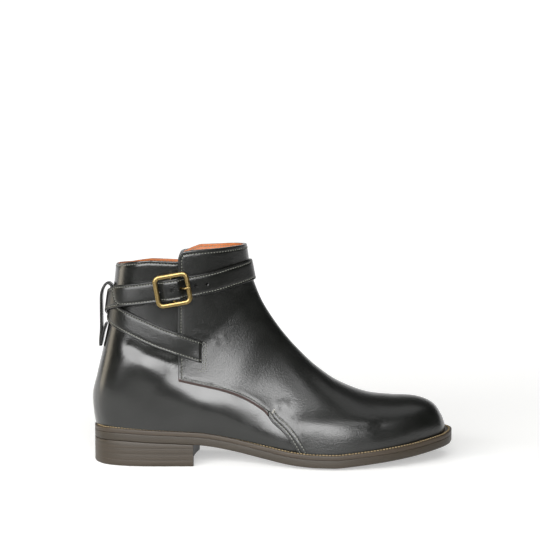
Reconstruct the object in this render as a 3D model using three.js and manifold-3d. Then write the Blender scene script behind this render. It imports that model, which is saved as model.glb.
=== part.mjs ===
// A jodhpur boot for the right foot, standing empty on its sole.
// The toe points along +X, the outer side faces -Y, +Z is up, and all sizes are millimetres.

import * as THREE from "three";
import { mergeVertices } from "three/addons/utils/BufferGeometryUtils.js";
import Module from "manifold-3d";

const wasm = await Module();
wasm.setup();

// Driving sizes of the last and the sole
const soleLength = 309.4;
const ballWidth = 104;
const collarHeight = 156;
const heelHeight = 20.4;
const toeSpring = 15;
const edgeCamber = 2.2;
const outsoleThickness = 6.8;
const weltThickness = 3.6;
const weltWidth = 14;
const heelLifts = 3;
const topPieceThickness = 5.2;
const heelLength = 86.5;
const heelBreastHollow = 3.5;
const heelBreastSkew = 4.5;
const insoleThickness = 3;
const insoleMargin = 1.4;

// Driving sizes of the leather
const wall = 2.2;
const vampThickness = 1.6;
const clearance = 0.3;
const lastingTuck = 7.7;
const strapWidth = 18;
const strapThickness = 2.2;
const strapGap = 0.5;
const holeDiameter = 2.2;
const holePitch = 9.3;
const loopWidth = 12;
const loopThickness = 2.2;

// Driving sizes of the buckle
const frameLength = 30.5;
const frameHeight = 28;
const frameBar = 3.8;
const frameThickness = 2.6;
const frameCorner = 6;
const centreBarDiameter = 3;
const prongDiameter = 2;

// The sole, one row for each station. along is a share of the sole's length, outer and inner are
// half widths as shares of the ball's width, rise, spring and camber are shares of the heel's
// height, the toe spring and the edge camber, and tuck is a share of the lasting tuck.
const soleRows = [
  { along: 0.0, outer: 0.0, inner: 0.0, rise: 1.0, spring: 0, camber: 0, tuck: 0.16 },
  { along: 0.007, outer: 0.12, inner: 0.125, rise: 1.01, spring: 0, camber: 0, tuck: 0.16 },
  { along: 0.028, outer: 0.221, inner: 0.226, rise: 1.03, spring: 0, camber: 0, tuck: 0.16 },
  { along: 0.06, outer: 0.284, inner: 0.288, rise: 1.04, spring: 0, camber: 0, tuck: 0.17 },
  { along: 0.103, outer: 0.322, inner: 0.322, rise: 1.03, spring: 0, camber: 0, tuck: 0.18 },
  { along: 0.161, outer: 0.337, inner: 0.332, rise: 0.98, spring: 0, camber: 0, tuck: 0.2 },
  { along: 0.238, outer: 0.337, inner: 0.313, rise: 0.93, spring: 0, camber: 0, tuck: 0.28 },
  { along: 0.316, outer: 0.337, inner: 0.284, rise: 0.85, spring: 0, camber: 0, tuck: 0.38 },
  { along: 0.393, outer: 0.351, inner: 0.274, rise: 0.63, spring: 0, camber: 0.15, tuck: 0.48 },
  { along: 0.471, outer: 0.389, inner: 0.298, rise: 0.33, spring: 0, camber: 0.5, tuck: 0.6 },
  { along: 0.542, outer: 0.447, inner: 0.356, rise: 0.09, spring: 0, camber: 0.9, tuck: 0.72 },
  { along: 0.607, outer: 0.49, inner: 0.428, rise: 0, spring: 0, camber: 1, tuck: 0.79 },
  { along: 0.665, outer: 0.51, inner: 0.476, rise: 0, spring: 0, camber: 1, tuck: 0.81 },
  { along: 0.723, outer: 0.5, inner: 0.49, rise: 0, spring: 0.11, camber: 1, tuck: 0.82 },
  { along: 0.781, outer: 0.471, inner: 0.481, rise: 0, spring: 0.25, camber: 0.9, tuck: 0.84 },
  { along: 0.833, outer: 0.428, inner: 0.457, rise: 0, spring: 0.4, camber: 0.7, tuck: 0.87 },
  { along: 0.885, outer: 0.361, inner: 0.418, rise: 0, spring: 0.57, camber: 0.45, tuck: 0.91 },
  { along: 0.935, outer: 0.269, inner: 0.356, rise: 0, spring: 0.76, camber: 0.2, tuck: 0.95 },
  { along: 0.968, outer: 0.188, inner: 0.284, rise: 0, spring: 0.88, camber: 0.08, tuck: 1 },
  { along: 0.99, outer: 0.091, inner: 0.188, rise: 0, spring: 0.96, camber: 0, tuck: 1 },
  { along: 1.0, outer: -0.048, inner: 0.048, rise: 0, spring: 1.0, camber: 0, tuck: 1 },
];

// The last, one row for each girth from the toe round the heel to above the collar. A girth
// runs from its foot on the feather line, or on the back seam, to its crown on the top line.
// foot and crown are shares of the feather line's length. low, for a foot on the back seam, and
// high, for the crown, are shares of the collar's height above the seat. ridge and half are
// shares of the ball's width. belly is where the girth is widest, as a share of its height, and
// full is how boxy it is above that.
const lastRows = [
  { foot: 1.0, crown: 1.0, high: 0.017, ridge: 0.048, half: 0, belly: 0.4, full: 2.2 },
  { foot: 0.9884, crown: 0.989, high: 0.08, ridge: 0.049, half: 0.15, belly: 0.4, full: 2.2 },
  { foot: 0.963, crown: 0.965, high: 0.147, ridge: 0.05, half: 0.235, belly: 0.35, full: 2.2 },
  { foot: 0.913, crown: 0.917, high: 0.194, ridge: 0.046, half: 0.317, belly: 0.33, full: 2.2 },
  { foot: 0.84, crown: 0.847, high: 0.218, ridge: 0.04, half: 0.397, belly: 0.3, full: 2.1 },
  { foot: 0.76, crown: 0.774, high: 0.252, ridge: 0.035, half: 0.441, belly: 0.27, full: 2 },
  { foot: 0.68, crown: 0.697, high: 0.326, ridge: 0.031, half: 0.447, belly: 0.23, full: 1.9 },
  { foot: 0.6, crown: 0.631, high: 0.415, ridge: 0.028, half: 0.404, belly: 0.2, full: 1.65 },
  { foot: 0.514, crown: 0.571, high: 0.519, ridge: 0.024, half: 0.356, belly: 0.19, full: 1.4 },
  { foot: 0.414, crown: 0.526, high: 0.608, ridge: 0.02, half: 0.33, belly: 0.2, full: 1.3 },
  { foot: 0.291, crown: 0.4925, high: 0.688, ridge: 0.015, half: 0.332, belly: 0.24, full: 1.35 },
  { foot: 0.141, crown: 0.4715, high: 0.749, ridge: 0.01, half: 0.332, belly: 0.28, full: 1.5 },
  { foot: 0.042, crown: 0.459, high: 0.798, ridge: 0.007, half: 0.332, belly: 0.3, full: 1.6 },
  { foot: 0.016, crown: 0.4567, high: 0.808, ridge: 0.006, half: 0.332, belly: 0.31, full: 1.63 },
  { foot: 0.004, crown: 0.4546, high: 0.818, ridge: 0.006, half: 0.332, belly: 0.31, full: 1.66 },
  { foot: 0.0, crown: 0.4526, high: 0.827, ridge: 0.005, half: 0.332, belly: 0.32, full: 1.7 },
  { foot: -0.0106, low: 0.147, crown: 0.446, high: 0.86, ridge: 0.004, half: 0.331, belly: 0.36, full: 1.8 },
  { foot: 0.003, low: 0.268, crown: 0.4416, high: 0.889, ridge: 0.003, half: 0.322, belly: 0.4, full: 1.85 },
  { foot: 0.0216, low: 0.417, crown: 0.438, high: 0.926, ridge: 0.002, half: 0.317, belly: 0.44, full: 1.9 },
  { foot: 0.0416, low: 0.59, crown: 0.4343, high: 0.963, ridge: 0.001, half: 0.32, belly: 0.46, full: 1.95 },
  { foot: 0.0536, low: 0.756, crown: 0.431, high: 1.007, ridge: 0, half: 0.33, belly: 0.47, full: 2 },
  { foot: 0.0602, low: 0.871, crown: 0.4276, high: 1.047, ridge: 0, half: 0.34, belly: 0.48, full: 2.05 },
  { foot: 0.0669, low: 0.986, crown: 0.4226, high: 1.131, ridge: 0, half: 0.346, belly: 0.48, full: 2.1 },
];

// How finely the faceted solids are drawn
const stepsPerStation = 2;
const stepsPerGirth = 2;
const pointsBelowBelly = 4;
const pointsAboveBelly = 5;
const strapStep = 6;

// A smooth curve through the rows of a table, as a function of one of its columns
function smoothColumn(rows, from, to) {
  const x = rows.map((row) => row[from]);
  const y = rows.map((row) => row[to]);
  const last = rows.length - 1;
  const slope = rows.map((row, i) => {
    const before = Math.max(i - 1, 0);
    const after = Math.min(i + 1, last);
    return (y[after] - y[before]) / (x[after] - x[before]);
  });
  return (value) => {
    const v = Math.min(Math.max(value, x[0]), x[last]);
    let i = 0;
    while (i < last - 1 && v > x[i + 1]) i += 1;
    const width = x[i + 1] - x[i];
    const u = (v - x[i]) / width;
    const rest = 1 - u;
    return (
      y[i] * rest * rest * (1 + 2 * u) +
      y[i + 1] * u * u * (3 - 2 * u) +
      slope[i] * width * u * rest * rest -
      slope[i + 1] * width * u * u * rest
    );
  };
}

// The value of a column at row number t, smooth between the rows. Before the first row it runs
// on as its own mirror image, and mirror is -1 for a width, which passes through zero there.
function columnAt(rows, name, t, mirror = 1) {
  const last = rows.length - 1;
  const i = Math.min(Math.floor(t), last - 1);
  const u = t - i;
  const value = (k) => rows[Math.min(Math.abs(k), last)][name] * (k < 0 ? mirror : 1);
  const [a, b, c, d] = [value(i - 1), value(i), value(i + 1), value(i + 2)];
  const bend = 2 * a - 5 * b + 4 * c - d;
  const twist = 3 * b - 3 * c + d - a;
  return 0.5 * (2 * b + (c - a) * u + bend * u * u + twist * u ** 3);
}

// Levels of the sole at a place x from the sole's heel end
const riseAt = smoothColumn(soleRows, "along", "rise");
const springAt = smoothColumn(soleRows, "along", "spring");
const camberAt = smoothColumn(soleRows, "along", "camber");

function centreLevel(x) {
  const along = x / soleLength;
  return Math.max(0, heelHeight * riseAt(along) + toeSpring * springAt(along));
}

function edgeLevel(x) {
  return centreLevel(x) + edgeCamber * Math.max(0, camberAt(x / soleLength));
}

const outsoleTop = (x) => edgeLevel(x) + outsoleThickness;
const weltBottom = (x) => outsoleTop(x) + clearance;
const seatLevel = (x) => weltBottom(x) + weltThickness;
const upperBottom = (x) => seatLevel(x) + clearance;

// The sole's outline from above, as a closed curve through both sides of the table
const outlineCurve = new THREE.CatmullRomCurve3(
  [
    ...soleRows.map((row) => new THREE.Vector3(row.along * soleLength, -row.outer * ballWidth, 0)),
    ...soleRows
      .slice(1, -1)
      .reverse()
      .map((row) => new THREE.Vector3(row.along * soleLength, row.inner * ballWidth, 0)),
  ],
  true,
  "catmullrom",
);

// The outline drawn in by a distance, as points [x, y] of the outer and inner side, station by
// station from the heel end to the toe
function outlineInset(distanceAt, steps) {
  const stations = (soleRows.length - 1) * steps;
  const count = stations * 2;
  const place = (k) => {
    const row = Math.min(k, count - k) / steps;
    const at = (k % count) / count;
    const point = outlineCurve.getPoint(at);
    const ahead = outlineCurve.getPoint((at + 0.0005) % 1);
    const behind = outlineCurve.getPoint((at + 0.9995) % 1);
    const tangent = ahead.sub(behind).normalize();
    const distance = distanceAt(row);
    return [point.x - tangent.y * distance, point.y + tangent.x * distance];
  };
  const outer = [];
  const inner = [];
  for (let k = 0; k <= stations; k += 1) {
    outer.push(place(k));
    inner.push(place(count - k));
  }
  return { outer, inner };
}

const tuckAt = (row) => lastingTuck * columnAt(soleRows, "tuck", row);
const feather = outlineInset(tuckAt, 8);
const featherBack = feather.outer[0][0];
const featherToe = feather.outer[feather.outer.length - 1][0];
const featherLength = featherToe - featherBack;

// The y of one side of the feather line at x
function sideAt(points, x) {
  const reach = Math.min(Math.max(x, featherBack), featherToe);
  let i = 0;
  while (i < points.length - 2 && points[i + 1][0] < reach) i += 1;
  const share = (reach - points[i][0]) / (points[i + 1][0] - points[i][0]);
  return points[i][1] + (points[i + 1][1] - points[i][1]) * share;
}

// Closed meshes to solids and back
function solidFrom(points, triangles) {
  const keys = new Map();
  const places = [];
  const merged = points.map((point) => {
    const key = point.map((value) => Math.round(value * 1e4)).join(" ");
    if (!keys.has(key)) {
      keys.set(key, keys.size);
      places.push(...point);
    }
    return keys.get(key);
  });
  const corners = triangles
    .map((triangle) => triangle.map((corner) => merged[corner]))
    .filter(([a, b, c]) => a !== b && b !== c && c !== a);
  return new wasm.Manifold(
    new wasm.Mesh({
      numProp: 3,
      vertProperties: new Float32Array(places),
      triVerts: new Uint32Array(corners.flat()),
    }),
  );
}

function solidOf(source) {
  const geometry = source.clone();
  geometry.deleteAttribute("normal");
  geometry.deleteAttribute("uv");
  const whole = mergeVertices(geometry, 1e-4);
  return new wasm.Manifold(
    new wasm.Mesh({
      numProp: 3,
      vertProperties: new Float32Array(whole.attributes.position.array),
      triVerts: new Uint32Array(whole.index.array),
    }),
  );
}

function geometryOf(solid) {
  const mesh = solid.getMesh();
  const geometry = new THREE.BufferGeometry();
  const places = new Float32Array(mesh.vertProperties);
  geometry.setAttribute("position", new THREE.BufferAttribute(places, 3));
  geometry.setIndex(new THREE.BufferAttribute(new Uint32Array(mesh.triVerts), 1));
  geometry.computeVertexNormals();
  return geometry;
}

// A closed solid through rings of points, each ring with as many points as the next
function loft(rings) {
  const count = rings[0].length;
  const points = rings.flat();
  const triangles = [];
  for (let i = 0; i + 1 < rings.length; i += 1) {
    for (let j = 0; j < count; j += 1) {
      const a = i * count + j;
      const b = i * count + ((j + 1) % count);
      triangles.push([a, b, b + count], [a, b + count, a + count]);
    }
  }
  const end = (rings.length - 1) * count;
  for (let j = 1; j + 1 < count; j += 1) {
    triangles.push([0, j + 1, j], [end, end + j, end + j + 1]);
  }
  return solidFrom(points, triangles);
}

// A layer of the sole between two heights, with points across it at the given shares
function layer(sides, shares, bottomAt, topAt) {
  const points = [];
  const triangles = [];
  const across = shares.length;
  const stations = sides.outer.length;
  for (const heightAt of [bottomAt, topAt]) {
    for (let i = 0; i < stations; i += 1) {
      const [ox, oy] = sides.outer[i];
      const [ix, iy] = sides.inner[i];
      for (const share of shares) {
        const x = ox + (ix - ox) * share;
        points.push([x, oy + (iy - oy) * share, heightAt(x, share)]);
      }
    }
  }
  const top = stations * across;
  for (let i = 0; i + 1 < stations; i += 1) {
    const row = i * across;
    for (let j = 0; j + 1 < across; j += 1) {
      const a = row + j;
      const b = a + across;
      triangles.push([a, a + 1, b + 1], [a, b + 1, b]);
      triangles.push([top + a, top + b, top + b + 1], [top + a, top + b + 1, top + a + 1]);
    }
    const outerEdge = row;
    const innerEdge = row + across - 1;
    triangles.push([outerEdge, outerEdge + across, top + outerEdge + across]);
    triangles.push([outerEdge, top + outerEdge + across, top + outerEdge]);
    triangles.push([innerEdge, top + innerEdge + across, innerEdge + across]);
    triangles.push([innerEdge, top + innerEdge, top + innerEdge + across]);
  }
  return solidFrom(points, triangles);
}

// A prism seen from the side, between two places across the boot
function sidePrism(points, halfDepth) {
  const shape = new THREE.Shape(points.map(([x, z]) => new THREE.Vector2(x, z)));
  const geometry = new THREE.ExtrudeGeometry(shape, { depth: 2 * halfDepth, bevelEnabled: false });
  geometry.rotateX(Math.PI / 2);
  geometry.translate(0, halfDepth, 0);
  return solidOf(geometry);
}

// A prism seen from above, between two heights
function planPrism(points, bottom, top) {
  const shape = new THREE.Shape(points.map(([x, y]) => new THREE.Vector2(x, y)));
  const geometry = new THREE.ExtrudeGeometry(shape, { depth: top - bottom, bevelEnabled: false });
  geometry.translate(0, 0, bottom);
  return solidOf(geometry);
}

// The sole
const soleSides = outlineInset(() => 0, stepsPerStation);
const edgeToEdge = [0, 1];
const acrossTheTread = [0, 0.35, 0.65, 1];
const flatMiddle = 0.3;

function treadLevel(x, share) {
  const fromMiddle = Math.abs(2 * share - 1);
  const outside = Math.max(0, (fromMiddle - flatMiddle) / (1 - flatMiddle));
  return centreLevel(x) + (edgeLevel(x) - centreLevel(x)) * outside ** 2;
}

function outsole() {
  const plate = layer(soleSides, acrossTheTread, treadLevel, outsoleTop);
  const middle = outlineInset(() => weltWidth + clearance, stepsPerStation);
  const overlap = outsoleThickness / 2;
  const filler = layer(middle, edgeToEdge, (x) => outsoleTop(x) - overlap, seatLevel);
  return plate.add(filler);
}

function welt() {
  const whole = layer(soleSides, edgeToEdge, weltBottom, seatLevel);
  const middle = outlineInset(() => weltWidth, stepsPerStation);
  const under = (x) => weltBottom(x) - weltThickness;
  const over = (x) => seatLevel(x) + weltThickness;
  return whole.subtract(layer(middle, edgeToEdge, under, over));
}

function insole() {
  const drawnIn = (row) => tuckAt(row) + wall + insoleMargin;
  const sides = outlineInset(drawnIn, stepsPerStation);
  return layer(sides, edgeToEdge, upperBottom, (x) => upperBottom(x) + insoleThickness);
}

// Everything behind the heel's hollow breast, seen from above
function heelRegion() {
  const halfAcross = ballWidth / 2;
  const hollowHalfWidth = 0.33 * ballWidth;
  const steps = 12;
  const points = [[-ballWidth, -ballWidth], [heelLength, -ballWidth]];
  for (let i = 0; i <= steps; i += 1) {
    const side = (2 * i) / steps - 1;
    const hollow = heelBreastHollow * (1 - ((side * halfAcross) / hollowHalfWidth) ** 2);
    points.push([heelLength + heelBreastSkew * (side + 1) / 2 - hollow, side * halfAcross]);
  }
  points.push([heelLength, ballWidth], [-ballWidth, ballWidth]);
  return planPrism(points, -heelHeight, 2 * heelHeight);
}

function heelPiece(bottom, topAt) {
  return layer(soleSides, edgeToEdge, () => bottom, topAt).intersect(heelRegion());
}

const liftThickness = (heelHeight - topPieceThickness) / heelLifts;
const soleColour = 0x5f5449;
const heelPieces = [["heel_top_piece", heelPiece(0, () => topPieceThickness)]];
for (let i = 0; i < heelLifts; i += 1) {
  const bottom = topPieceThickness + i * liftThickness;
  const isLast = i === heelLifts - 1;
  const topAt = isLast ? (x) => edgeLevel(x) - clearance : () => bottom + liftThickness;
  heelPieces.push([`heel_lift_${i + 1}`, heelPiece(bottom, topAt)]);
}

// The last's surface. t is the girth's row number, s runs up a girth from 0 to 1. A girth that
// starts on the feather line is drawn on down by a skirt, which the sole's line trims off.
const skirt = 6;
const fullBelowBelly = 2.5;
const girths = lastRows.map((row) => ({ ...row, up: row.low ?? -skirt / collarHeight }));
const heelCorner = lastRows.findIndex((row) => row.low !== undefined) - 1;

function girthAt(t) {
  const at = (name, mirror) => columnAt(girths, name, t, mirror);
  const footX = featherBack + featherLength * at("foot");
  const crownX = featherBack + featherLength * at("crown");
  const outer = sideAt(feather.outer, footX);
  const inner = sideAt(feather.inner, footX);
  const onBack = t >= heelCorner;
  const up = Math.max(at("up"), -skirt / collarHeight);
  return {
    foot: [footX, (outer + inner) / 2, upperBottom(footX) + collarHeight * up],
    crown: [crownX, ballWidth * at("ridge"), upperBottom(crownX) + collarHeight * at("high")],
    open: onBack ? 0 : (inner - outer) / 2,
    half: Math.max(ballWidth * at("half", -1), 0),
    belly: at("belly"),
    full: at("full"),
  };
}

function halfWidth(girth, s) {
  if (girth.half === 0) return 0;
  if (s >= girth.belly) {
    const u = Math.min((s - girth.belly) / (1 - girth.belly), 1);
    return girth.half * Math.sqrt(1 - u ** girth.full);
  }
  const u = (girth.belly - s) / girth.belly;
  const open = Math.min(girth.open / girth.half, 1) ** 2;
  return girth.half * Math.sqrt(Math.max(0, 1 - (1 - open) * u ** fullBelowBelly));
}

function girthPoint(girth, s, side) {
  const along = girth.foot.map((value, k) => value + (girth.crown[k] - value) * s);
  return [along[0], along[1] + side * halfWidth(girth, s), along[2]];
}

// The last as a grid of points, each girth from the outer side's foot over the crown to the
// inner side's foot
function lastGrid() {
  const up = (belly) => {
    const steps = [];
    for (let i = 0; i < pointsBelowBelly; i += 1) {
      steps.push(belly * (1 - Math.cos((Math.PI / 2) * (i / pointsBelowBelly))));
    }
    for (let i = 0; i <= pointsAboveBelly; i += 1) {
      steps.push(belly + (1 - belly) * Math.sin((Math.PI / 2) * (i / pointsAboveBelly)));
    }
    return steps;
  };
  const grid = [];
  const count = (lastRows.length - 1) * stepsPerGirth;
  for (let i = 0; i <= count; i += 1) {
    const girth = girthAt(i / stepsPerGirth);
    const shares = up(girth.belly);
    const outer = shares.map((s) => girthPoint(girth, s, -1));
    const inner = shares.slice(0, -1).map((s) => girthPoint(girth, s, 1));
    grid.push([...outer, ...inner.reverse()]);
  }
  return grid;
}

const pointKey = (point) => point.map((value) => Math.round(value * 1e3)).join(" ");

function quadsOf(grid) {
  const quads = [];
  for (let i = 0; i + 1 < grid.length; i += 1) {
    for (let j = 0; j + 1 < grid[0].length; j += 1) {
      quads.push([[i, j], [i, j + 1], [i + 1, j + 1], [i + 1, j]]);
    }
  }
  return quads;
}

// The direction that faces out of the last at each point of the grid
function normalsOf(grid) {
  const sums = new Map();
  for (const quad of quadsOf(grid)) {
    const [a, b, c, d] = quad.map(([i, j]) => new THREE.Vector3(...grid[i][j]));
    const normal = c.sub(a).cross(d.sub(b));
    for (const [i, j] of quad) {
      const key = pointKey(grid[i][j]);
      sums.set(key, (sums.get(key) ?? new THREE.Vector3()).add(normal));
    }
  }
  return grid.map((ring) => ring.map((point) => sums.get(pointKey(point)).clone().normalize()));
}

const baseGrid = lastGrid();
const baseNormals = normalsOf(baseGrid);

// The last grown or shrunk by a distance, as a closed solid
function lastForm(distance) {
  const rows = baseGrid.length;
  const across = baseGrid[0].length;
  const points = baseGrid.flatMap((ring, i) =>
    ring.map((point, j) => {
      const out = baseNormals[i][j].toArray();
      return point.map((value, k) => value + out[k] * distance);
    }),
  );
  const index = ([i, j]) => i * across + j;
  const triangles = [];
  for (const quad of quadsOf(baseGrid)) {
    const [a, b, c, d] = quad.map(index);
    triangles.push([a, b, c], [a, c, d]);
  }
  const last = across - 1;
  for (let i = 0; i + 1 < rows; i += 1) {
    const [a, b, c, d] = [[i, 0], [i + 1, 0], [i + 1, last], [i, last]].map(index);
    triangles.push([a, b, c], [a, c, d]);
  }
  for (let j = 0; j < last / 2; j += 1) {
    const end = rows - 1;
    const [a, b, c, d] = [[end, j], [end, j + 1], [end, last - j - 1], [end, last - j]].map(index);
    triangles.push([a, b, c], [a, c, d]);
  }
  return solidFrom(points, triangles);
}

// Rims and edges seen from the side. along is a share of the feather line's length and up a
// share of the collar's height above the seat.
const quarterRim = [
  { along: -0.1, up: 0.855 },
  { along: 0.041, up: 0.868 },
  { along: 0.06, up: 0.88 },
  { along: 0.109, up: 0.901 },
  { along: 0.167, up: 0.919 },
];
const tabStep = [
  { along: 0.254, up: 0.918 },
  { along: 0.256, up: 0.962 },
];
const tabRim = [
  { along: 0.281, up: 0.985 },
  { along: 0.361, up: 1.012 },
  { along: 0.428, up: 1.048 },
  { along: 0.6, up: 1.12 },
];
const tabRearEdge = [
  { along: 0.244, up: 0.272 },
  { along: 0.241, up: 0.577 },
  { along: 0.245, up: 0.911 },
  { along: 0.247, up: 0.946 },
  { along: 0.255, up: 0.972 },
];
const vampEdge = [
  { along: 0.577, up: -0.01 },
  { along: 0.546, up: 0.076 },
  { along: 0.507, up: 0.133 },
  { along: 0.494, up: 0.162 },
  { along: 0.479, up: 0.186 },
  { along: 0.44, up: 0.217 },
  { along: 0.401, up: 0.234 },
  { along: 0.362, up: 0.243 },
  { along: 0.303, up: 0.252 },
];

function sidePlace({ along, up }) {
  const x = featherBack + featherLength * along;
  return [x, upperBottom(x) + collarHeight * up];
}

// Far outside the boot on every side
const beyond = soleLength;

function aboveRim() {
  const rim = [...quarterRim, ...tabStep, ...tabRim].map(sidePlace);
  const last = rim[rim.length - 1];
  return sidePrism([...rim, [last[0], beyond], [rim[0][0], beyond]], ballWidth);
}

function belowSole() {
  const line = [];
  const steps = 60;
  const from = -0.1 * soleLength;
  const to = 1.1 * soleLength;
  for (let i = 0; i <= steps; i += 1) {
    const x = from + (to - from) * (i / steps);
    line.push([x, upperBottom(x)]);
  }
  return sidePrism([[from, -heelHeight], [to, -heelHeight], ...line.reverse()], ballWidth);
}

function vampRegion() {
  const toe = featherToe + lastingTuck;
  const tab = [...tabRearEdge, ...tabRim].map(sidePlace);
  const edge = vampEdge.map(sidePlace);
  const front = [[toe, beyond], [toe, -heelHeight], [edge[0][0], -heelHeight]];
  return sidePrism([...tab, ...front, ...edge], ballWidth);
}

// A cut can leave slivers and a crumb of leather on an edge, which are swept away
const sliver = 0.02;

function tidied(solid) {
  const bodies = solid.simplify(sliver).decompose();
  return bodies.reduce((kept, body) => (body.volume() > kept.volume() ? body : kept));
}

function upper() {
  const hollow = lastForm(0).subtract(lastForm(-wall));
  return tidied(hollow.subtract(aboveRim()).subtract(belowSole()));
}

function vamp() {
  const shell = lastForm(clearance + vampThickness).subtract(lastForm(clearance));
  return tidied(shell.intersect(vampRegion()).subtract(belowSole()));
}

// The place on the last where a ray from the ankle's axis leaves it. turn goes once round from
// the front by the outer side, and height is above the floor.
const ankleAxis = featherBack + featherLength * 0.248;
const nearestSkin = 5;
const furthestSkin = 1.4 * ballWidth;
const smallTurn = 0.004;
const smallRise = 1.5;

function insideLast(x, y, z) {
  let low = 0;
  let high = lastRows.length - 1;
  for (let i = 0; i < 26; i += 1) {
    const middle = (low + high) / 2;
    const { foot, crown } = girthAt(middle);
    const above = (crown[0] - foot[0]) * (z - foot[2]) - (crown[2] - foot[2]) * (x - foot[0]) > 0;
    if (above) low = middle;
    else high = middle;
  }
  const girth = girthAt(low);
  const dx = girth.crown[0] - girth.foot[0];
  const dz = girth.crown[2] - girth.foot[2];
  const s = ((x - girth.foot[0]) * dx + (z - girth.foot[2]) * dz) / (dx * dx + dz * dz);
  if (s < 0 || s > 1) return false;
  const middleY = girth.foot[1] + (girth.crown[1] - girth.foot[1]) * s;
  return Math.abs(y - middleY) < halfWidth(girth, s);
}

function skinPoint(turn, height) {
  const angle = 2 * Math.PI * turn;
  const [cos, sin] = [Math.cos(angle), -Math.sin(angle)];
  let near = nearestSkin;
  let far = furthestSkin;
  for (let i = 0; i < 18; i += 1) {
    const middle = (near + far) / 2;
    if (insideLast(ankleAxis + cos * middle, sin * middle, height)) near = middle;
    else far = middle;
  }
  return new THREE.Vector3(ankleAxis + cos * near, sin * near, height);
}

function skinNormal(turn, height) {
  const ahead = skinPoint(turn + 2 * smallTurn, height);
  const behind = skinPoint(turn - 2 * smallTurn, height);
  const over = skinPoint(turn, height + smallRise);
  const under = skinPoint(turn, height - smallRise);
  return over.sub(under).cross(ahead.sub(behind)).normalize();
}

// The straps. turn goes round the ankle from the front by the outer side, up is a share of the
// collar's height above the heel seat, straps counts the straps underneath and onVamp is 1 where
// the vamp is underneath.
const longStrapRows = [
  { turn: 0.13, up: 0.405, straps: 0, onVamp: 1 },
  { turn: 0.161, up: 0.418, straps: 0, onVamp: 1 },
  { turn: 0.262, up: 0.468, straps: 0, onVamp: 1 },
  { turn: 0.333, up: 0.506, straps: 0, onVamp: 0 },
  { turn: 0.426, up: 0.59, straps: 0, onVamp: 0 },
  { turn: 0.5, up: 0.645, straps: 0, onVamp: 0 },
  { turn: 0.6, up: 0.7, straps: 0, onVamp: 0 },
  { turn: 0.67, up: 0.732, straps: 0, onVamp: 0 },
  { turn: 0.74, up: 0.762, straps: 0, onVamp: 1 },
  { turn: 0.88, up: 0.82, straps: 0, onVamp: 1 },
  { turn: 1.0, up: 0.848, straps: 0, onVamp: 1 },
  { turn: 1.06, up: 0.83, straps: 0, onVamp: 1 },
  { turn: 1.121, up: 0.801, straps: 0, onVamp: 1 },
  { turn: 1.25, up: 0.771, straps: 0, onVamp: 1 },
  { turn: 1.3, up: 0.759, straps: 1, onVamp: 0 },
  { turn: 1.36, up: 0.743, straps: 1, onVamp: 0 },
  { turn: 1.42, up: 0.723, straps: 2, onVamp: 0 },
  { turn: 1.452, up: 0.711, straps: 2, onVamp: 0 },
];
const shortStrapRows = [
  { turn: 0.276, up: 0.765, straps: 0, onVamp: 0 },
  { turn: 0.36, up: 0.743, straps: 0, onVamp: 0 },
  { turn: 0.42, up: 0.722, straps: 1, onVamp: 0 },
  { turn: 0.5, up: 0.67, straps: 1, onVamp: 0 },
  { turn: 0.574, up: 0.59, straps: 1, onVamp: 0 },
  { turn: 0.62, up: 0.547, straps: 1, onVamp: 0 },
  { turn: 0.667, up: 0.506, straps: 0, onVamp: 0 },
  { turn: 0.738, up: 0.468, straps: 0, onVamp: 1 },
  { turn: 0.839, up: 0.418, straps: 0, onVamp: 1 },
  { turn: 0.87, up: 0.405, straps: 0, onVamp: 1 },
];
const slitPlace = 0.308;
const strapTopPlace = 0.62;
const barTurn = 1.276;
const seatHeight = upperBottom(0);

// A column that rests at each row and eases between them
function easedColumn(rows, name, turn) {
  let i = 0;
  while (i < rows.length - 2 && turn > rows[i + 1].turn) i += 1;
  const u = Math.min(Math.max((turn - rows[i].turn) / (rows[i + 1].turn - rows[i].turn), 0), 1);
  return rows[i][name] + (rows[i + 1][name] - rows[i][name]) * u * u * (3 - 2 * u);
}

function strapLift(rows, turn) {
  const onStraps = easedColumn(rows, "straps", turn) * (strapThickness + strapGap);
  const onVamp = easedColumn(rows, "onVamp", turn) * (vampThickness + 2 * clearance);
  return strapGap + onStraps + onVamp;
}

// A strap's middle line on the last, with its direction, the way out of the last and the way
// across the strap
function strapStation(rows, turn) {
  const heightAt = smoothColumn(rows, "turn", "up");
  const height = (where) => seatHeight + collarHeight * heightAt(where);
  const place = skinPoint(turn, height(turn));
  const ahead = skinPoint(turn + smallTurn, height(turn + smallTurn));
  const behind = skinPoint(turn - smallTurn, height(turn - smallTurn));
  const out = skinNormal(turn, height(turn));
  const direction = ahead.sub(behind);
  direction.addScaledVector(out, -direction.dot(out)).normalize();
  return { turn, place, out, direction, across: new THREE.Vector3().crossVectors(out, direction) };
}

// The turns of a strap's stations, a step apart along it
function strapTurns(rows, from, to) {
  const turns = [from];
  while (turns[turns.length - 1] < to) {
    const turn = turns[turns.length - 1];
    const { place } = strapStation(rows, turn);
    const radius = Math.hypot(place.x - ankleAxis, place.y);
    turns.push(turn + strapStep / (2 * Math.PI * radius));
  }
  turns[turns.length - 1] = to;
  return turns;
}

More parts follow.
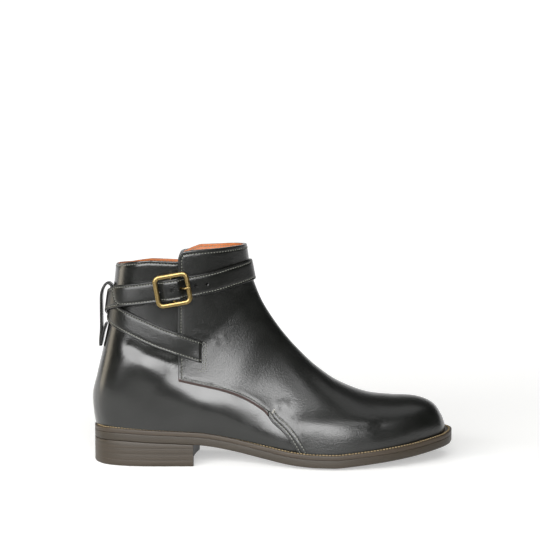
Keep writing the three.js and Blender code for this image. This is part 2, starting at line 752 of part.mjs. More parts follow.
// One ring of a strap's section, inner face first. share narrows the strap at a rounded tip.
function strapRing(rows, turn, share, raise) {
  const station = strapStation(rows, turn);
  const faces = { inner: [], outer: [] };
  for (const side of [-1, 0, 1]) {
    const half = (share * strapWidth) / 2;
    const edge = station.place.clone().addScaledVector(station.across, side * half);
    const angle = Math.atan2(-edge.y, edge.x - ankleAxis) / (2 * Math.PI);
    const edgeTurn = angle + Math.round(turn - angle);
    const skin = skinPoint(edgeTurn, edge.z);
    const out = skinNormal(edgeTurn, edge.z);
    const lift = raise(skin, strapLift(rows, edgeTurn));
    faces.inner.push(skin.clone().addScaledVector(out, lift).toArray());
    faces.outer.unshift(skin.clone().addScaledVector(out, lift + strapThickness).toArray());
  }
  return [...faces.inner, ...faces.outer];
}

function cutAtSlit(strap) {
  const [x] = sidePlace({ along: slitPlace, up: 0 });
  const top = seatHeight + collarHeight * strapTopPlace;
  return strap.subtract(sidePrism([[x, 0], [beyond, 0], [beyond, top], [x, top]], ballWidth));
}

// The buckle's own frame: x towards the toe along the strap, y up across it, z out of the last
const bar = strapStation(longStrapRows, barTurn);
const towardsToe = bar.direction.clone().negate();
const buckleFrame = new THREE.Matrix4().makeBasis(towardsToe, bar.across.clone().negate(), bar.out);
buckleFrame.setPosition(bar.place);

const barRadius = centreBarDiameter / 2;
const chapeLeather = 1.1;
const barrelRadius = barRadius + clearance + chapeLeather;
const barHeight = strapGap + barrelRadius;
const frameBottom = 2 * (strapThickness + 2 * strapGap);
const frameTop = frameBottom + frameThickness;
const prongHeight = frameTop + clearance + prongDiameter / 2;
const prongRise = frameLength / 4;
const prongSlot = {
  from: prongRise - prongDiameter,
  to: prongRise + 1.8 * prongDiameter,
  width: prongDiameter + 4 * clearance,
};
const bumpFlat = 3 * barRadius;
const bumpEnd = frameLength / 2 - frameBar;

function atBuckle(geometry) {
  geometry.applyMatrix4(buckleFrame);
  return solidOf(geometry);
}

function roundBar(radius, length, sides = 12) {
  return new THREE.CylinderGeometry(radius, radius, length, sides);
}

// The long strap humps over the short strap's end and the buckle's bar
function humpOverBar(skin, lift) {
  const away = Math.abs(skin.clone().sub(bar.place).dot(towardsToe));
  if (away > bumpEnd || skin.distanceTo(bar.place) > strapWidth) return lift;
  const u = Math.min(Math.max((bumpEnd - away) / (bumpEnd - bumpFlat), 0), 1);
  const top = barHeight + barrelRadius + clearance;
  return lift + (Math.max(top, lift) - lift) * u * u * (3 - 2 * u);
}

function humpOnSecondPass(turn) {
  return Math.abs(turn - barTurn) < 0.2 ? humpOverBar : (skin, lift) => lift;
}

// The squarish round of the long strap's tip, as the strap's width at a distance from its end
const tipRound = 5.5;
const tipBlunt = 0.45;
const tipSteps = [0, 0.8, 2.4, tipRound];

function tipShare(fromEnd) {
  const u = Math.min(fromEnd / tipRound, 1);
  return tipBlunt + (1 - tipBlunt) * Math.sqrt(1 - (1 - u) ** 2);
}

function longStrap() {
  const rows = longStrapRows;
  const end = rows[rows.length - 1].turn;
  const { place } = strapStation(rows, end);
  const turnPerLength = 1 / (2 * Math.PI * Math.hypot(place.x - ankleAxis, place.y));
  const tip = tipSteps.map((step) => ({ turn: end - step * turnPerLength, share: tipShare(step) }));
  const body = strapTurns(rows, rows[0].turn, end - 2 * tipRound * turnPerLength);
  const stations = [...body.map((turn) => ({ turn, share: 1 })), ...tip.reverse()];
  const rings = stations.map(({ turn, share }) =>
    strapRing(rows, turn, share, humpOnSecondPass(turn)),
  );
  let strap = cutAtSlit(loft(rings));
  for (const hole of holes()) strap = strap.subtract(hole);
  return tidied(strap);
}

// The adjusting holes, a pitch apart, and the slot that the prong comes through
function holes() {
  const places = [-1, 0, 2, 3];
  const { place } = bar;
  const turnPerLength = 1 / (2 * Math.PI * Math.hypot(place.x - ankleAxis, place.y));
  const cuts = places.map((count) => {
    const turn = barTurn - count * holePitch * turnPerLength;
    const station = strapStation(longStrapRows, turn);
    const punch = roundBar(holeDiameter / 2, 6 * strapThickness, 8);
    const turned = new THREE.Quaternion().setFromUnitVectors(new THREE.Vector3(0, 1, 0), station.out);
    const raised = station.place.clone().addScaledVector(station.out, 3 * strapThickness);
    punch.applyMatrix4(new THREE.Matrix4().compose(raised, turned, new THREE.Vector3(1, 1, 1)));
    return solidOf(punch);
  });
  const slot = new THREE.BoxGeometry(prongSlot.to - prongSlot.from, prongSlot.width, 2 * prongHeight);
  slot.translate((prongSlot.from + prongSlot.to) / 2, 0, prongHeight);
  return [...cuts, atBuckle(slot)];
}

function barrel(radius, width) {
  const geometry = roundBar(radius, width, 12);
  geometry.translate(0, 0, barHeight);
  return atBuckle(geometry);
}

function shortStrap() {
  const rows = shortStrapRows;
  const turns = strapTurns(rows, rows[0].turn, rows[rows.length - 1].turn);
  const rings = turns.map((turn) => strapRing(rows, turn, 1, (skin, lift) => lift));
  const strap = cutAtSlit(loft(rings));
  const notch = new THREE.BoxGeometry(4 * barrelRadius, prongDiameter + 2 * clearance, 4 * barrelRadius);
  notch.translate(barrelRadius, 0, barHeight);
  const eyeRoom = barrel(barrelRadius + clearance, prongDiameter + 2 * clearance);
  const whole = strap.add(barrel(barrelRadius, strapWidth));
  const barRoom = barrel(barRadius + clearance, 2 * strapWidth);
  return tidied(whole.subtract(eyeRoom).subtract(atBuckle(notch)).subtract(barRoom));
}

function roundedRectangle(length, height, corner) {
  const shape = new THREE.Shape();
  const [x, y] = [length / 2, height / 2];
  shape.moveTo(x - corner, -y);
  shape.absarc(x - corner, corner - y, corner, -Math.PI / 2, 0);
  shape.absarc(x - corner, y - corner, corner, 0, Math.PI / 2);
  shape.absarc(corner - x, y - corner, corner, Math.PI / 2, Math.PI);
  shape.absarc(corner - x, corner - y, corner, Math.PI, 1.5 * Math.PI);
  return shape;
}

function buckle() {
  const bevel = frameThickness / 4;
  const inset = (distance) =>
    roundedRectangle(frameLength - 2 * distance, frameHeight - 2 * distance, frameCorner - distance);
  const outer = inset(bevel);
  outer.holes.push(inset(frameBar - bevel));
  const ring = new THREE.ExtrudeGeometry(outer, {
    depth: frameThickness - 2 * bevel,
    bevelThickness: bevel,
    bevelSize: bevel,
    bevelSegments: 1,
    curveSegments: 3,
  });
  ring.translate(0, 0, frameBottom + bevel);
  const postInner = frameHeight / 2 - frameBar;
  const post = frameBar - frameThickness / 4;
  const rod = roundBar(barRadius, 2 * postInner + post);
  rod.translate(0, 0, barHeight);
  let solid = atBuckle(ring).add(atBuckle(rod));
  for (const side of [-1, 1]) {
    const top = frameBottom + frameThickness / 2;
    const bottom = barHeight - barRadius;
    const block = new THREE.BoxGeometry(centreBarDiameter, post - clearance, top - bottom);
    block.translate(0, side * (postInner + post / 2), (top + bottom) / 2);
    solid = solid.add(atBuckle(block));
  }
  return tidied(solid);
}

function prong() {
  const radius = prongDiameter / 2;
  const climb = prongHeight - barHeight;
  const route = [
    [barRadius + clearance + radius, barHeight],
    [0.72 * prongRise, barHeight + 0.12 * climb],
    [0.98 * prongRise, barHeight + 0.45 * climb],
    [1.22 * prongRise, barHeight + 0.78 * climb],
    [1.48 * prongRise, prongHeight],
    [frameLength / 2 + clearance, prongHeight],
  ];
  const path = new THREE.CatmullRomCurve3(route.map(([x, z]) => new THREE.Vector3(x, 0, z)));
  const circle = new THREE.Shape().absarc(0, 0, radius, 0, 2 * Math.PI);
  const rod = new THREE.ExtrudeGeometry(circle, {
    extrudePath: path,
    steps: 8,
    curveSegments: 4,
    bevelEnabled: false,
  });
  const eye = barrel(barrelRadius, prongDiameter);
  return tidied(eye.add(atBuckle(rod)).subtract(barrel(barRadius + clearance, 2 * strapWidth)));
}

// The pull loop behind the heel, seen from the side. out is how far its middle stands behind the
// back seam as a share of the loop's reach, up is a share of the collar's height.
const loopReach = 9.6;
const onSkin = (loopThickness / 2 + 2 * clearance) / loopReach;
const outerStrand = [
  { out: onSkin, up: 0.748 },
  { out: onSkin, up: 0.762 },
  { out: 0.49, up: 0.776 },
  { out: 0.81, up: 0.763 },
  { out: 1.0, up: 0.717 },
  { out: 0.89, up: 0.628 },
  { out: 0.64, up: 0.531 },
  { out: 0.48, up: 0.467 },
  { out: 0.3, up: 0.431 },
];
const innerStrand = [
  { out: 0.3, up: 0.431 },
  { out: onSkin, up: 0.467 },
  { out: onSkin, up: 0.515 },
  { out: onSkin, up: 0.555 },
];

function strand(rows, steps) {
  const points = rows.map(({ out, up }) => {
    const height = seatHeight + collarHeight * up;
    return new THREE.Vector3(skinPoint(0.5, height).x - out * loopReach, height, 0);
  });
  const curve = new THREE.CatmullRomCurve3(points);
  const left = [];
  const right = [];
  for (let i = 0; i <= steps; i += 1) {
    const point = curve.getPoint(i / steps);
    const tangent = curve.getTangent(i / steps);
    const across = [(-tangent.y * loopThickness) / 2, (tangent.x * loopThickness) / 2];
    left.push([point.x + across[0], point.y + across[1]]);
    right.push([point.x - across[0], point.y - across[1]]);
  }
  return sidePrism([...left, ...right.reverse()], loopWidth / 2);
}

function pullLoop() {
  return tidied(strand(outerStrand, 24).add(strand(innerStrand, 6)));
}

// The finished boot
const boot = new THREE.Group();

function addPart(name, solid, colour, roughness, metalness = 0) {
  const material = new THREE.MeshStandardMaterial({ color: colour, roughness, metalness });
  const mesh = new THREE.Mesh(geometryOf(solid), material);
  mesh.name = name;
  boot.add(mesh);
}

const blackCalf = 0x1b1c1b;
const brass = 0xb59a5c;
addPart("outsole", outsole(), soleColour, 0.6);
addPart("welt", welt(), 0x4f453b, 0.6);
for (const [name, solid] of heelPieces) addPart(name, solid, soleColour, 0.55);
addPart("insole", insole(), 0xb9683c, 0.6);
addPart("upper", upper(), blackCalf, 0.4);
addPart("vamp", vamp(), blackCalf, 0.4);
addPart("long_strap", longStrap(), blackCalf, 0.45);
addPart("short_strap", shortStrap(), blackCalf, 0.45);
addPart("buckle", buckle(), brass, 0.3, 1);
addPart("prong", prong(), brass, 0.3, 1);
addPart("pull_loop", pullLoop(), blackCalf, 0.5);

// The origin is on the floor, under the middle of the whole boot
const box = new THREE.Box3().setFromObject(boot);
const middle = box.getCenter(new THREE.Vector3());
boot.position.set(-middle.x, -middle.y, 0);

export default boot;
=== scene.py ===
# %% [markdown]
# # A black calf jodhpur boot
#
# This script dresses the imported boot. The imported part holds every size, so each piece is drawn
# again here in more detail on the same last, and takes the place of its plain solid. All
# working sizes are in millimetres, measured from the heel end of the sole, with the toe along
# +X and the outer side of this right boot along -Y.

import math

import bpy
import numpy as np
from mathutils import Matrix, Vector
from mathutils.bvhtree import BVHTree


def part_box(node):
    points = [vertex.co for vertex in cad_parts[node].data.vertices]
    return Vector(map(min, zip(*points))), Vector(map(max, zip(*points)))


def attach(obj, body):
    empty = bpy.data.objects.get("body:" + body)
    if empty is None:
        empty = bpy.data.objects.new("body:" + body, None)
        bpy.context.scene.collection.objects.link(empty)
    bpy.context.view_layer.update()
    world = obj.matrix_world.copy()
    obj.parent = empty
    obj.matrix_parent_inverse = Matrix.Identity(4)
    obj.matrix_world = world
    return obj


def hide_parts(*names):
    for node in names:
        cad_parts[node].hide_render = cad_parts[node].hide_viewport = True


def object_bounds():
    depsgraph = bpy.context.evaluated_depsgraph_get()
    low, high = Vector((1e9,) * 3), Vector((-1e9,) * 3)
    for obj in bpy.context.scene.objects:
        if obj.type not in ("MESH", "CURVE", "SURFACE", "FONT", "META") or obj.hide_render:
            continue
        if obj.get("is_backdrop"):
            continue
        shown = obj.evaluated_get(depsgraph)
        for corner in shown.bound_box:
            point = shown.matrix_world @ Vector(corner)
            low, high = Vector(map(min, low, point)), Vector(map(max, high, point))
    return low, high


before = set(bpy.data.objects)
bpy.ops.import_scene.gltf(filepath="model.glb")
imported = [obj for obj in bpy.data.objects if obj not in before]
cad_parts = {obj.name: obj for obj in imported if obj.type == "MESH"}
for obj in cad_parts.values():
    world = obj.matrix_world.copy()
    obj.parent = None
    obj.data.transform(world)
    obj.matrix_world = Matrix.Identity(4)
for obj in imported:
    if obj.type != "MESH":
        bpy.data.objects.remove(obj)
cad_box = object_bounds()
MM = 0.001
print("nodes:", ", ".join(sorted(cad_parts)))

# %% [markdown]
# ## The last
#
# A boot is shaped on a last, a solid copy of a foot. The sole's outline is one table and the
# last another. Each row of the last is a girth: a chord that starts on the sole's feather line
# or on the back seam and ends on the top line, with a width, a widest place and a fullness.
# Smooth curves through the rows give the whole surface, so no point is placed by hand.

# %% Sizes shared by all pieces
sole_length, ball_width, collar_height = 309.4, 104.0, 156.0
heel_height, toe_spring, edge_camber = 20.4, 15.0, 2.2
outsole_thickness, welt_thickness, clearance = 6.8, 3.6, 0.3
lasting_tuck, skirt, upper_wall, vamp_thickness = 7.7, 6.0, 2.2, 1.6


def table(names, rows):
    return dict(zip(names.split(), np.array(rows, float).T))


sole_rows = table(
    "along outer inner rise spring camber tuck",
    [
        [0.0, 0.0, 0.0, 1.0, 0, 0, 0.16],
        [0.007, 0.12, 0.125, 1.01, 0, 0, 0.16],
        [0.028, 0.221, 0.226, 1.03, 0, 0, 0.16],
        [0.06, 0.284, 0.288, 1.04, 0, 0, 0.17],
        [0.103, 0.322, 0.322, 1.03, 0, 0, 0.18],
        [0.161, 0.337, 0.332, 0.98, 0, 0, 0.2],
        [0.238, 0.337, 0.313, 0.93, 0, 0, 0.28],
        [0.316, 0.337, 0.284, 0.85, 0, 0, 0.38],
        [0.393, 0.351, 0.274, 0.63, 0, 0.15, 0.48],
        [0.471, 0.389, 0.298, 0.33, 0, 0.5, 0.6],
        [0.542, 0.447, 0.356, 0.09, 0, 0.9, 0.72],
        [0.607, 0.49, 0.428, 0, 0, 1, 0.79],
        [0.665, 0.51, 0.476, 0, 0, 1, 0.81],
        [0.723, 0.5, 0.49, 0, 0.11, 1, 0.82],
        [0.781, 0.471, 0.481, 0, 0.25, 0.9, 0.84],
        [0.833, 0.428, 0.457, 0, 0.4, 0.7, 0.87],
        [0.885, 0.361, 0.418, 0, 0.57, 0.45, 0.91],
        [0.935, 0.269, 0.356, 0, 0.76, 0.2, 0.95],
        [0.968, 0.188, 0.284, 0, 0.88, 0.08, 1],
        [0.99, 0.091, 0.188, 0, 0.96, 0, 1],
        [1.0, -0.048, 0.048, 0, 1.0, 0, 1],
    ],
)
on_feather = -skirt / collar_height
last_rows = table(
    "foot low crown high ridge half belly full",
    [
        [1.0, on_feather, 1.0, 0.017, 0.048, 0, 0.4, 2.2],
        [0.9884, on_feather, 0.989, 0.08, 0.049, 0.15, 0.4, 2.2],
        [0.963, on_feather, 0.965, 0.147, 0.05, 0.235, 0.35, 2.2],
        [0.913, on_feather, 0.917, 0.194, 0.046, 0.317, 0.33, 2.2],
        [0.84, on_feather, 0.847, 0.218, 0.04, 0.397, 0.3, 2.1],
        [0.76, on_feather, 0.774, 0.252, 0.035, 0.441, 0.27, 2],
        [0.68, on_feather, 0.697, 0.326, 0.031, 0.447, 0.23, 1.9],
        [0.6, on_feather, 0.631, 0.415, 0.028, 0.404, 0.2, 1.65],
        [0.514, on_feather, 0.571, 0.519, 0.024, 0.356, 0.19, 1.4],
        [0.414, on_feather, 0.526, 0.608, 0.02, 0.33, 0.2, 1.3],
        [0.291, on_feather, 0.4925, 0.688, 0.015, 0.332, 0.24, 1.35],
        [0.141, on_feather, 0.4715, 0.749, 0.01, 0.332, 0.28, 1.5],
        [0.042, on_feather, 0.459, 0.798, 0.007, 0.332, 0.3, 1.6],
        [0.016, on_feather, 0.4567, 0.808, 0.006, 0.332, 0.31, 1.63],
        [0.004, on_feather, 0.4546, 0.818, 0.006, 0.332, 0.31, 1.66],
        [0.0, on_feather, 0.4526, 0.827, 0.005, 0.332, 0.32, 1.7],
        [-0.0106, 0.147, 0.446, 0.86, 0.004, 0.331, 0.36, 1.8],
        [0.003, 0.268, 0.4416, 0.889, 0.003, 0.322, 0.4, 1.85],
        [0.0216, 0.417, 0.438, 0.926, 0.002, 0.317, 0.44, 1.9],
        [0.0416, 0.59, 0.4343, 0.963, 0.001, 0.32, 0.46, 1.95],
        [0.0536, 0.756, 0.431, 1.007, 0, 0.33, 0.47, 2],
        [0.0602, 0.871, 0.4276, 1.047, 0, 0.34, 0.48, 2.05],
        [0.0669, 0.986, 0.4226, 1.131, 0, 0.346, 0.48, 2.1],
    ],
)
heel_corner = 15


# %% Curves through the tables
def smooth_column(rows, source, target):
    x, y = rows[source], rows[target]
    k = np.arange(len(x))
    before, after = np.maximum(k - 1, 0), np.minimum(k + 1, len(x) - 1)
    slope = (y[after] - y[before]) / (x[after] - x[before])

    def at(value):
        v = np.clip(value, x[0], x[-1])
        i = np.clip(np.searchsorted(x, v, side="right") - 1, 0, len(x) - 2)
        width = x[i + 1] - x[i]
        u = (v - x[i]) / width
        rest = 1 - u
        ends = y[i] * rest**2 * (1 + 2 * u) + y[i + 1] * u**2 * (3 - 2 * u)
        return ends + (slope[i] * rest - slope[i + 1] * u) * width * u * rest

    return at


def catmull(a, b, c, d, u):
    bend, twist = 2 * a - 5 * b + 4 * c - d, 3 * b - 3 * c + d - a
    return 0.5 * (2 * b + (c - a) * u + bend * u**2 + twist * u**3)


def along_rows(column, t, mirror=1):
    """The column at row number t. Before the first row it runs on as its own mirror image."""
    last = len(column) - 1
    i = np.clip(np.floor(t).astype(int), 0, last - 1)

    def value(k):
        return column[np.minimum(np.abs(k), last)] * np.where(k < 0, mirror, 1)

    return catmull(value(i - 1), value(i), value(i + 1), value(i + 2), t - i)


rise_at = smooth_column(sole_rows, "along", "rise")
spring_at = smooth_column(sole_rows, "along", "spring")
camber_at = smooth_column(sole_rows, "along", "camber")


def centre_level(x):
    along = x / sole_length
    return np.maximum(0, heel_height * rise_at(along) + toe_spring * spring_at(along))


def edge_level(x):
    return centre_level(x) + edge_camber * np.maximum(0, camber_at(x / sole_length))


def seat_level(x):
    return edge_level(x) + outsole_thickness + clearance + welt_thickness


def upper_bottom(x):
    return seat_level(x) + clearance


outer_points = np.stack([sole_rows["along"] * sole_length, -sole_rows["outer"] * ball_width], 1)
inner_points = np.stack([sole_rows["along"] * sole_length, sole_rows["inner"] * ball_width], 1)
outline_points = np.concatenate([outer_points, inner_points[-2:0:-1]])


def outline_at(u):
    i = np.floor(u).astype(int)
    a, b, c, d = (outline_points[(i + k) % len(outline_points)] for k in (-1, 0, 1, 2))
    return catmull(a, b, c, d, (u - i)[:, None])


def sole_ring(inset, steps=10):
    """The sole's outline drawn in by a distance, once round from the heel end."""
    count = len(outline_points) * steps
    k = np.arange(count)
    u = k / steps
    tangent = outline_at(u + 0.02) - outline_at(u - 0.02)
    tangent /= np.linalg.norm(tangent, axis=1)[:, None]
    distance = inset(np.minimum(u, len(outline_points) - u)) if callable(inset) else inset
    left = np.stack([-tangent[:, 1], tangent[:, 0]], 1)
    return outline_at(u) + left * np.reshape(distance, (-1, 1))


feather = sole_ring(lambda row: lasting_tuck * along_rows(sole_rows["tuck"], row), 8)
half_count = len(feather) // 2
feather_outer = feather[: half_count + 1]
feather_inner = np.concatenate([feather[:1], feather[:half_count - 1:-1]])
feather_back, feather_toe = feather[0, 0], feather[half_count, 0]
feather_length = feather_toe - feather_back
print(f"feather line: {feather_back:.2f} to {feather_toe:.2f} mm")


# %% The girths of the last
def girths(t):
    foot_x = feather_back + feather_length * along_rows(last_rows["foot"], t)
    crown_x = feather_back + feather_length * along_rows(last_rows["crown"], t)
    outer, inner = np.interp(foot_x, *feather_outer.T), np.interp(foot_x, *feather_inner.T)
    low = np.maximum(along_rows(last_rows["low"], t), on_feather)
    high = along_rows(last_rows["high"], t)
    ridge = ball_width * along_rows(last_rows["ridge"], t)
    foot_z = upper_bottom(foot_x) + collar_height * low
    crown_z = upper_bottom(crown_x) + collar_height * high
    return {
        "foot": np.stack([foot_x, (outer + inner) / 2, foot_z], -1),
        "crown": np.stack([crown_x, ridge, crown_z], -1),
        "open": np.where(t >= heel_corner, 0, (inner - outer) / 2),
        "half": np.maximum(ball_width * along_rows(last_rows["half"], t, mirror=-1), 1e-6),
        "belly": along_rows(last_rows["belly"], t),
        "full": along_rows(last_rows["full"], t),
    }


def half_width(g, s):
    above = np.clip((s - g["belly"]) / (1 - g["belly"]), 0, 1)
    below = np.clip((g["belly"] - s) / g["belly"], 0, 1)
    foot = 1 - np.minimum(g["open"] / g["half"], 1) ** 2
    upper_share = np.sqrt(np.maximum(0, 1 - above ** g["full"]))
    lower_share = np.sqrt(np.maximum(0, 1 - foot * below**2.5))
    return g["half"] * np.where(s >= g["belly"], upper_share, lower_share)


def last_grid(rows, across, foot_share=0.4):
    """Points of the last, each girth from the outer foot over the crown to the inner foot."""
    fine = np.linspace(0, len(last_rows["foot"]) - 1, 4000)
    g = girths(fine)
    moves = [np.linalg.norm(np.diff(g[end], axis=0), axis=1) for end in ("foot", "crown")]
    reach = np.concatenate([[0], np.cumsum(np.maximum(*moves))])
    t = np.interp(np.linspace(0, reach[-1], rows), reach, fine)
    g = {name: value[:, None] for name, value in girths(t).items()}
    v = np.linspace(-1, 1, across)
    q = 1 - np.abs(v)
    quarter_turn = math.pi / 2
    low = 1 - np.cos(quarter_turn * np.minimum(q / foot_share, 1))
    high = np.sin(quarter_turn * np.clip((q - foot_share) / (1 - foot_share), 0, 1))
    s = g["belly"] * low + (1 - g["belly"]) * high
    points = g["foot"] + (g["crown"] - g["foot"]) * s[..., None]
    points[..., 1] += np.sign(v) * half_width(g, s)
    return points, t


def relax_heel_corner(points, t, width=6, passes=3):
    """Smooths the turn from the feather line to the back seam, where the girths fan."""
    reach = np.arange(-3 * width, 3 * width + 1)
    weight = np.exp(-0.5 * (reach / width) ** 2)
    weight /= weight.sum()
    near = np.exp(-(((t - heel_corner) / 3.2) ** 2))[:, None, None]
    # The girths' ends are left alone, so that the two sides stay joined at the back seam.
    from_end = 1 - np.abs(np.linspace(-1, 1, points.shape[1]))
    near = near * np.clip(from_end / 0.1, 0, 1)[:, None]
    for _ in range(passes):
        padded = np.pad(points, ((3 * width, 3 * width), (0, 0), (0, 0)), mode="edge")
        soft = sum(w * padded[3 * width + k : len(padded) - 3 * width + k] for k, w in zip(reach, weight))
        points = points + (soft - points) * near
    return points


# %% [markdown]
# ## Sheets of leather
#
# Leather is cut from flat sheets, so each piece here is a sheet too: triangles on the last, with
# columns of numbers at each corner, such as how far it is from the cut edge. Cutting a sheet
# means splitting the triangles along a line where such a column has a given value. The same
# cut, kept on both sides, lays an edge loop beside the edge, which the rounding and the
# stitching groove need. The sheet then gets its thickness along the skin's normals.


# %% Sheets and how they are cut
def grid_faces(rows, across):
    a = (np.arange(rows - 1)[:, None] * across + np.arange(across - 1)).ravel()
    quads = np.stack([a, a + 1, a + across + 1, a + across], 1)
    return np.concatenate([quads[:, [0, 1, 2]], quads[:, [0, 2, 3]]])


def merged(points, faces, decimals=3):
    """Joins the corners that lie on each other, as those of a closed seam do."""
    _, first, index = np.unique(np.round(points, decimals), axis=0, return_index=True, return_inverse=True)
    faces = index.ravel()[faces]
    a, b, c = faces.T
    return points[first], faces[(a != b) & (b != c) & (c != a)]


def normals_of(points, faces):
    a, b, c = (points[faces[:, k]] for k in range(3))
    face_normals = np.cross(b - a, c - a)
    sums = np.zeros_like(points)
    for k in range(3):
        np.add.at(sums, faces[:, k], face_normals)
    return sums / np.maximum(np.linalg.norm(sums, axis=1)[:, None], 1e-9)


def split(sheet, name, level, keep_above=False, snap=0.06):
    """Splits the triangles where a column has a value, and can drop the side below it."""
    columns, faces = sheet
    names = list(columns)
    wide = np.concatenate([columns[n].reshape(len(columns[n]), -1) for n in names], 1)
    distance = columns[name] - level
    distance = np.where(np.abs(distance) < snap, 0, distance)
    side = np.sign(distance)
    sides = side[faces]
    crossing = (sides.min(1) < 0) & (sides.max(1) > 0)
    cut = faces[crossing]
    edges = np.sort(np.concatenate([cut[:, [0, 1]], cut[:, [1, 2]], cut[:, [2, 0]]]), 1)
    edges = np.unique(edges[side[edges[:, 0]] * side[edges[:, 1]] < 0], axis=0)
    a, b = edges.T
    share = (distance[a] / (distance[a] - distance[b]))[:, None]
    count = len(wide)
    number = {(int(i), int(j)): count + k for k, (i, j) in enumerate(edges)}
    wide = np.concatenate([wide, wide[a] * (1 - share) + wide[b] * share])
    side = np.concatenate([side, np.zeros(len(edges))])
    made = []
    for corners in cut.tolist():
        ring = []
        for i, j in zip(corners, corners[1:] + corners[:1]):
            ring.append(i)
            if side[i] * side[j] < 0:
                ring.append(number[min(i, j), max(i, j)])
        for kept in (1, -1):
            part = [n for n in ring if side[n] != -kept]
            made += [[part[0], part[k], part[k + 1]] for k in range(1, len(part) - 1)]
    faces = np.concatenate([faces[~crossing], np.array(made, int).reshape(-1, 3)])
    if keep_above:
        faces = faces[side[faces].min(1) >= 0]
    used, index = np.unique(faces, return_inverse=True)
    wide, on_line = wide[used], side[used] == 0
    result, start = {}, 0
    for n in names:
        width = 1 if columns[n].ndim == 1 else columns[n].shape[1]
        part = wide[:, start : start + width]
        result[n] = part[:, 0].copy() if columns[n].ndim == 1 else part
        start += width
    result[name][on_line] = level
    return result, index.reshape(-1, 3)


def boundary_edges(faces):
    edges = np.concatenate([faces[:, [0, 1]], faces[:, [1, 2]], faces[:, [2, 0]]])
    _, index, counts = np.unique(np.sort(edges, 1), axis=0, return_index=True, return_counts=True)
    return edges[index[counts == 1]]


def shell(sheet, top, bottom):
    """A closed skin between two heights above the sheet's own surface."""
    columns, faces = sheet
    count = len(columns["point"])
    up = columns["point"] + columns["out"] * np.reshape(top, (-1, 1))
    down = columns["point"] + columns["out"] * np.reshape(bottom, (-1, 1))
    rim = boundary_edges(faces)
    a, b = rim.T
    walls = np.concatenate([np.stack([b, a, a + count], 1), np.stack([b, a + count, b + count], 1)])
    return np.concatenate([up, down]), np.concatenate([faces, faces[:, ::-1] + count, walls])


# %% Distances from cut edges, seen from the side
def nearest_on(path, points):
    """The distance from each point to a path in the side view, and the direction from it."""
    best = np.full(len(points), 1e9)
    away = np.zeros((len(points), 2))
    for a, b in zip(path[:-1], path[1:]):
        ab = b - a
        u = np.clip(((points - a) @ ab) / (ab @ ab), 0, 1)
        delta = points - (a + u[:, None] * ab)
        distance = np.linalg.norm(delta, axis=1)
        closer = distance < best
        best[closer], away[closer] = distance[closer], delta[closer]
    return best, away


def inside(polygon, points):
    x, z = points.T
    result = np.zeros(len(points), bool)
    for (ax, az), (bx, bz) in zip(polygon, np.roll(polygon, -1, axis=0)):
        if az == bz:
            continue
        crosses = ((az > z) != (bz > z)) & (x < ax + (z - az) * (bx - ax) / (bz - az))
        result ^= crosses
    return result


inner_tab_back, inner_rim_drop = 4.0, 3.2


def edge_distance(columns, path, region):
    """How far inside a region each corner is from its cut edge, measured on the skin."""
    seen = columns["point"][:, [0, 2]].copy()
    is_inner = columns["point"][:, 1] > 0
    behind_tab = np.clip((seen[:, 0] - 16) / 14, 0, 1) * np.clip((90 - seen[:, 0]) / 10, 0, 1)
    seen += np.where(is_inner[:, None], np.column_stack([np.full(len(seen), inner_tab_back), inner_rim_drop * behind_tab]), 0)
    distance, away = nearest_on(path, seen)
    direction = away / np.maximum(distance, 1e-6)[:, None]
    facing = np.sum(direction * columns["out"][:, [0, 2]], 1)
    on_skin = distance / np.sqrt(np.maximum(1 - facing**2, 0.08))
    return np.where(inside(region, seen), on_skin, -on_skin)


def smooth_path(points, per_span=8):
    points = np.array(points, float)
    k = np.arange((len(points) - 1) * per_span + 1) / per_span
    i = np.minimum(k.astype(int), len(points) - 2)
    padded = np.concatenate([2 * points[:1] - points[1:2], points, 2 * points[-1:] - points[-2:-1]])
    return catmull(padded[i], padded[i + 1], padded[i + 2], padded[i + 3], (k - i)[:, None])


def side_places(rows):
    rows = np.array(rows, float)
    x = feather_back + feather_length * rows[:, 0]
    return np.stack([x, upper_bottom(x) + collar_height * rows[:, 1]], 1)


# %% [markdown]
# ## The skin of the last
#
# Everything above the sole lies on this one surface. It also carries the shape that wear and
# lasting gave the leather: broad soft swells on the quarter, the pull of the strap at its slit
# and the pucker at the bar tack. They are listed one by one as soft ridges and troughs, because
# a crease has a place and a reason on a real boot, which noise doesn't have.


# %% Ridges and troughs
centre_x = 153.72


def ridge_line(points, side, path, width, height, below=None, fade=0.2):
    """A soft ridge, or a trough with a height below 0, along a path in the side view.

    below is its width on the side of the path that is nearer the sole.
    """
    path = smooth_path(np.array(path, float) + [centre_x, 0])
    seen = points[:, [0, 2]]
    distance, away = nearest_on(path, seen)
    reach = np.where(away[:, 1] < 0, below or width, width)
    lengths = np.concatenate([[0], np.cumsum(np.linalg.norm(np.diff(path, axis=0), axis=1))])
    place = lengths[np.argmin(((seen[:, None] - path[None]) ** 2).sum(2), axis=1)] / lengths[-1]
    ends = np.clip(np.minimum(place, 1 - place) / fade, 0, 1)
    ends = ends**2 * (3 - 2 * ends)
    on_side = points[:, 1] * side > -4
    return np.where(on_side, height * np.exp(-((distance / reach) ** 2)) * ends, 0)


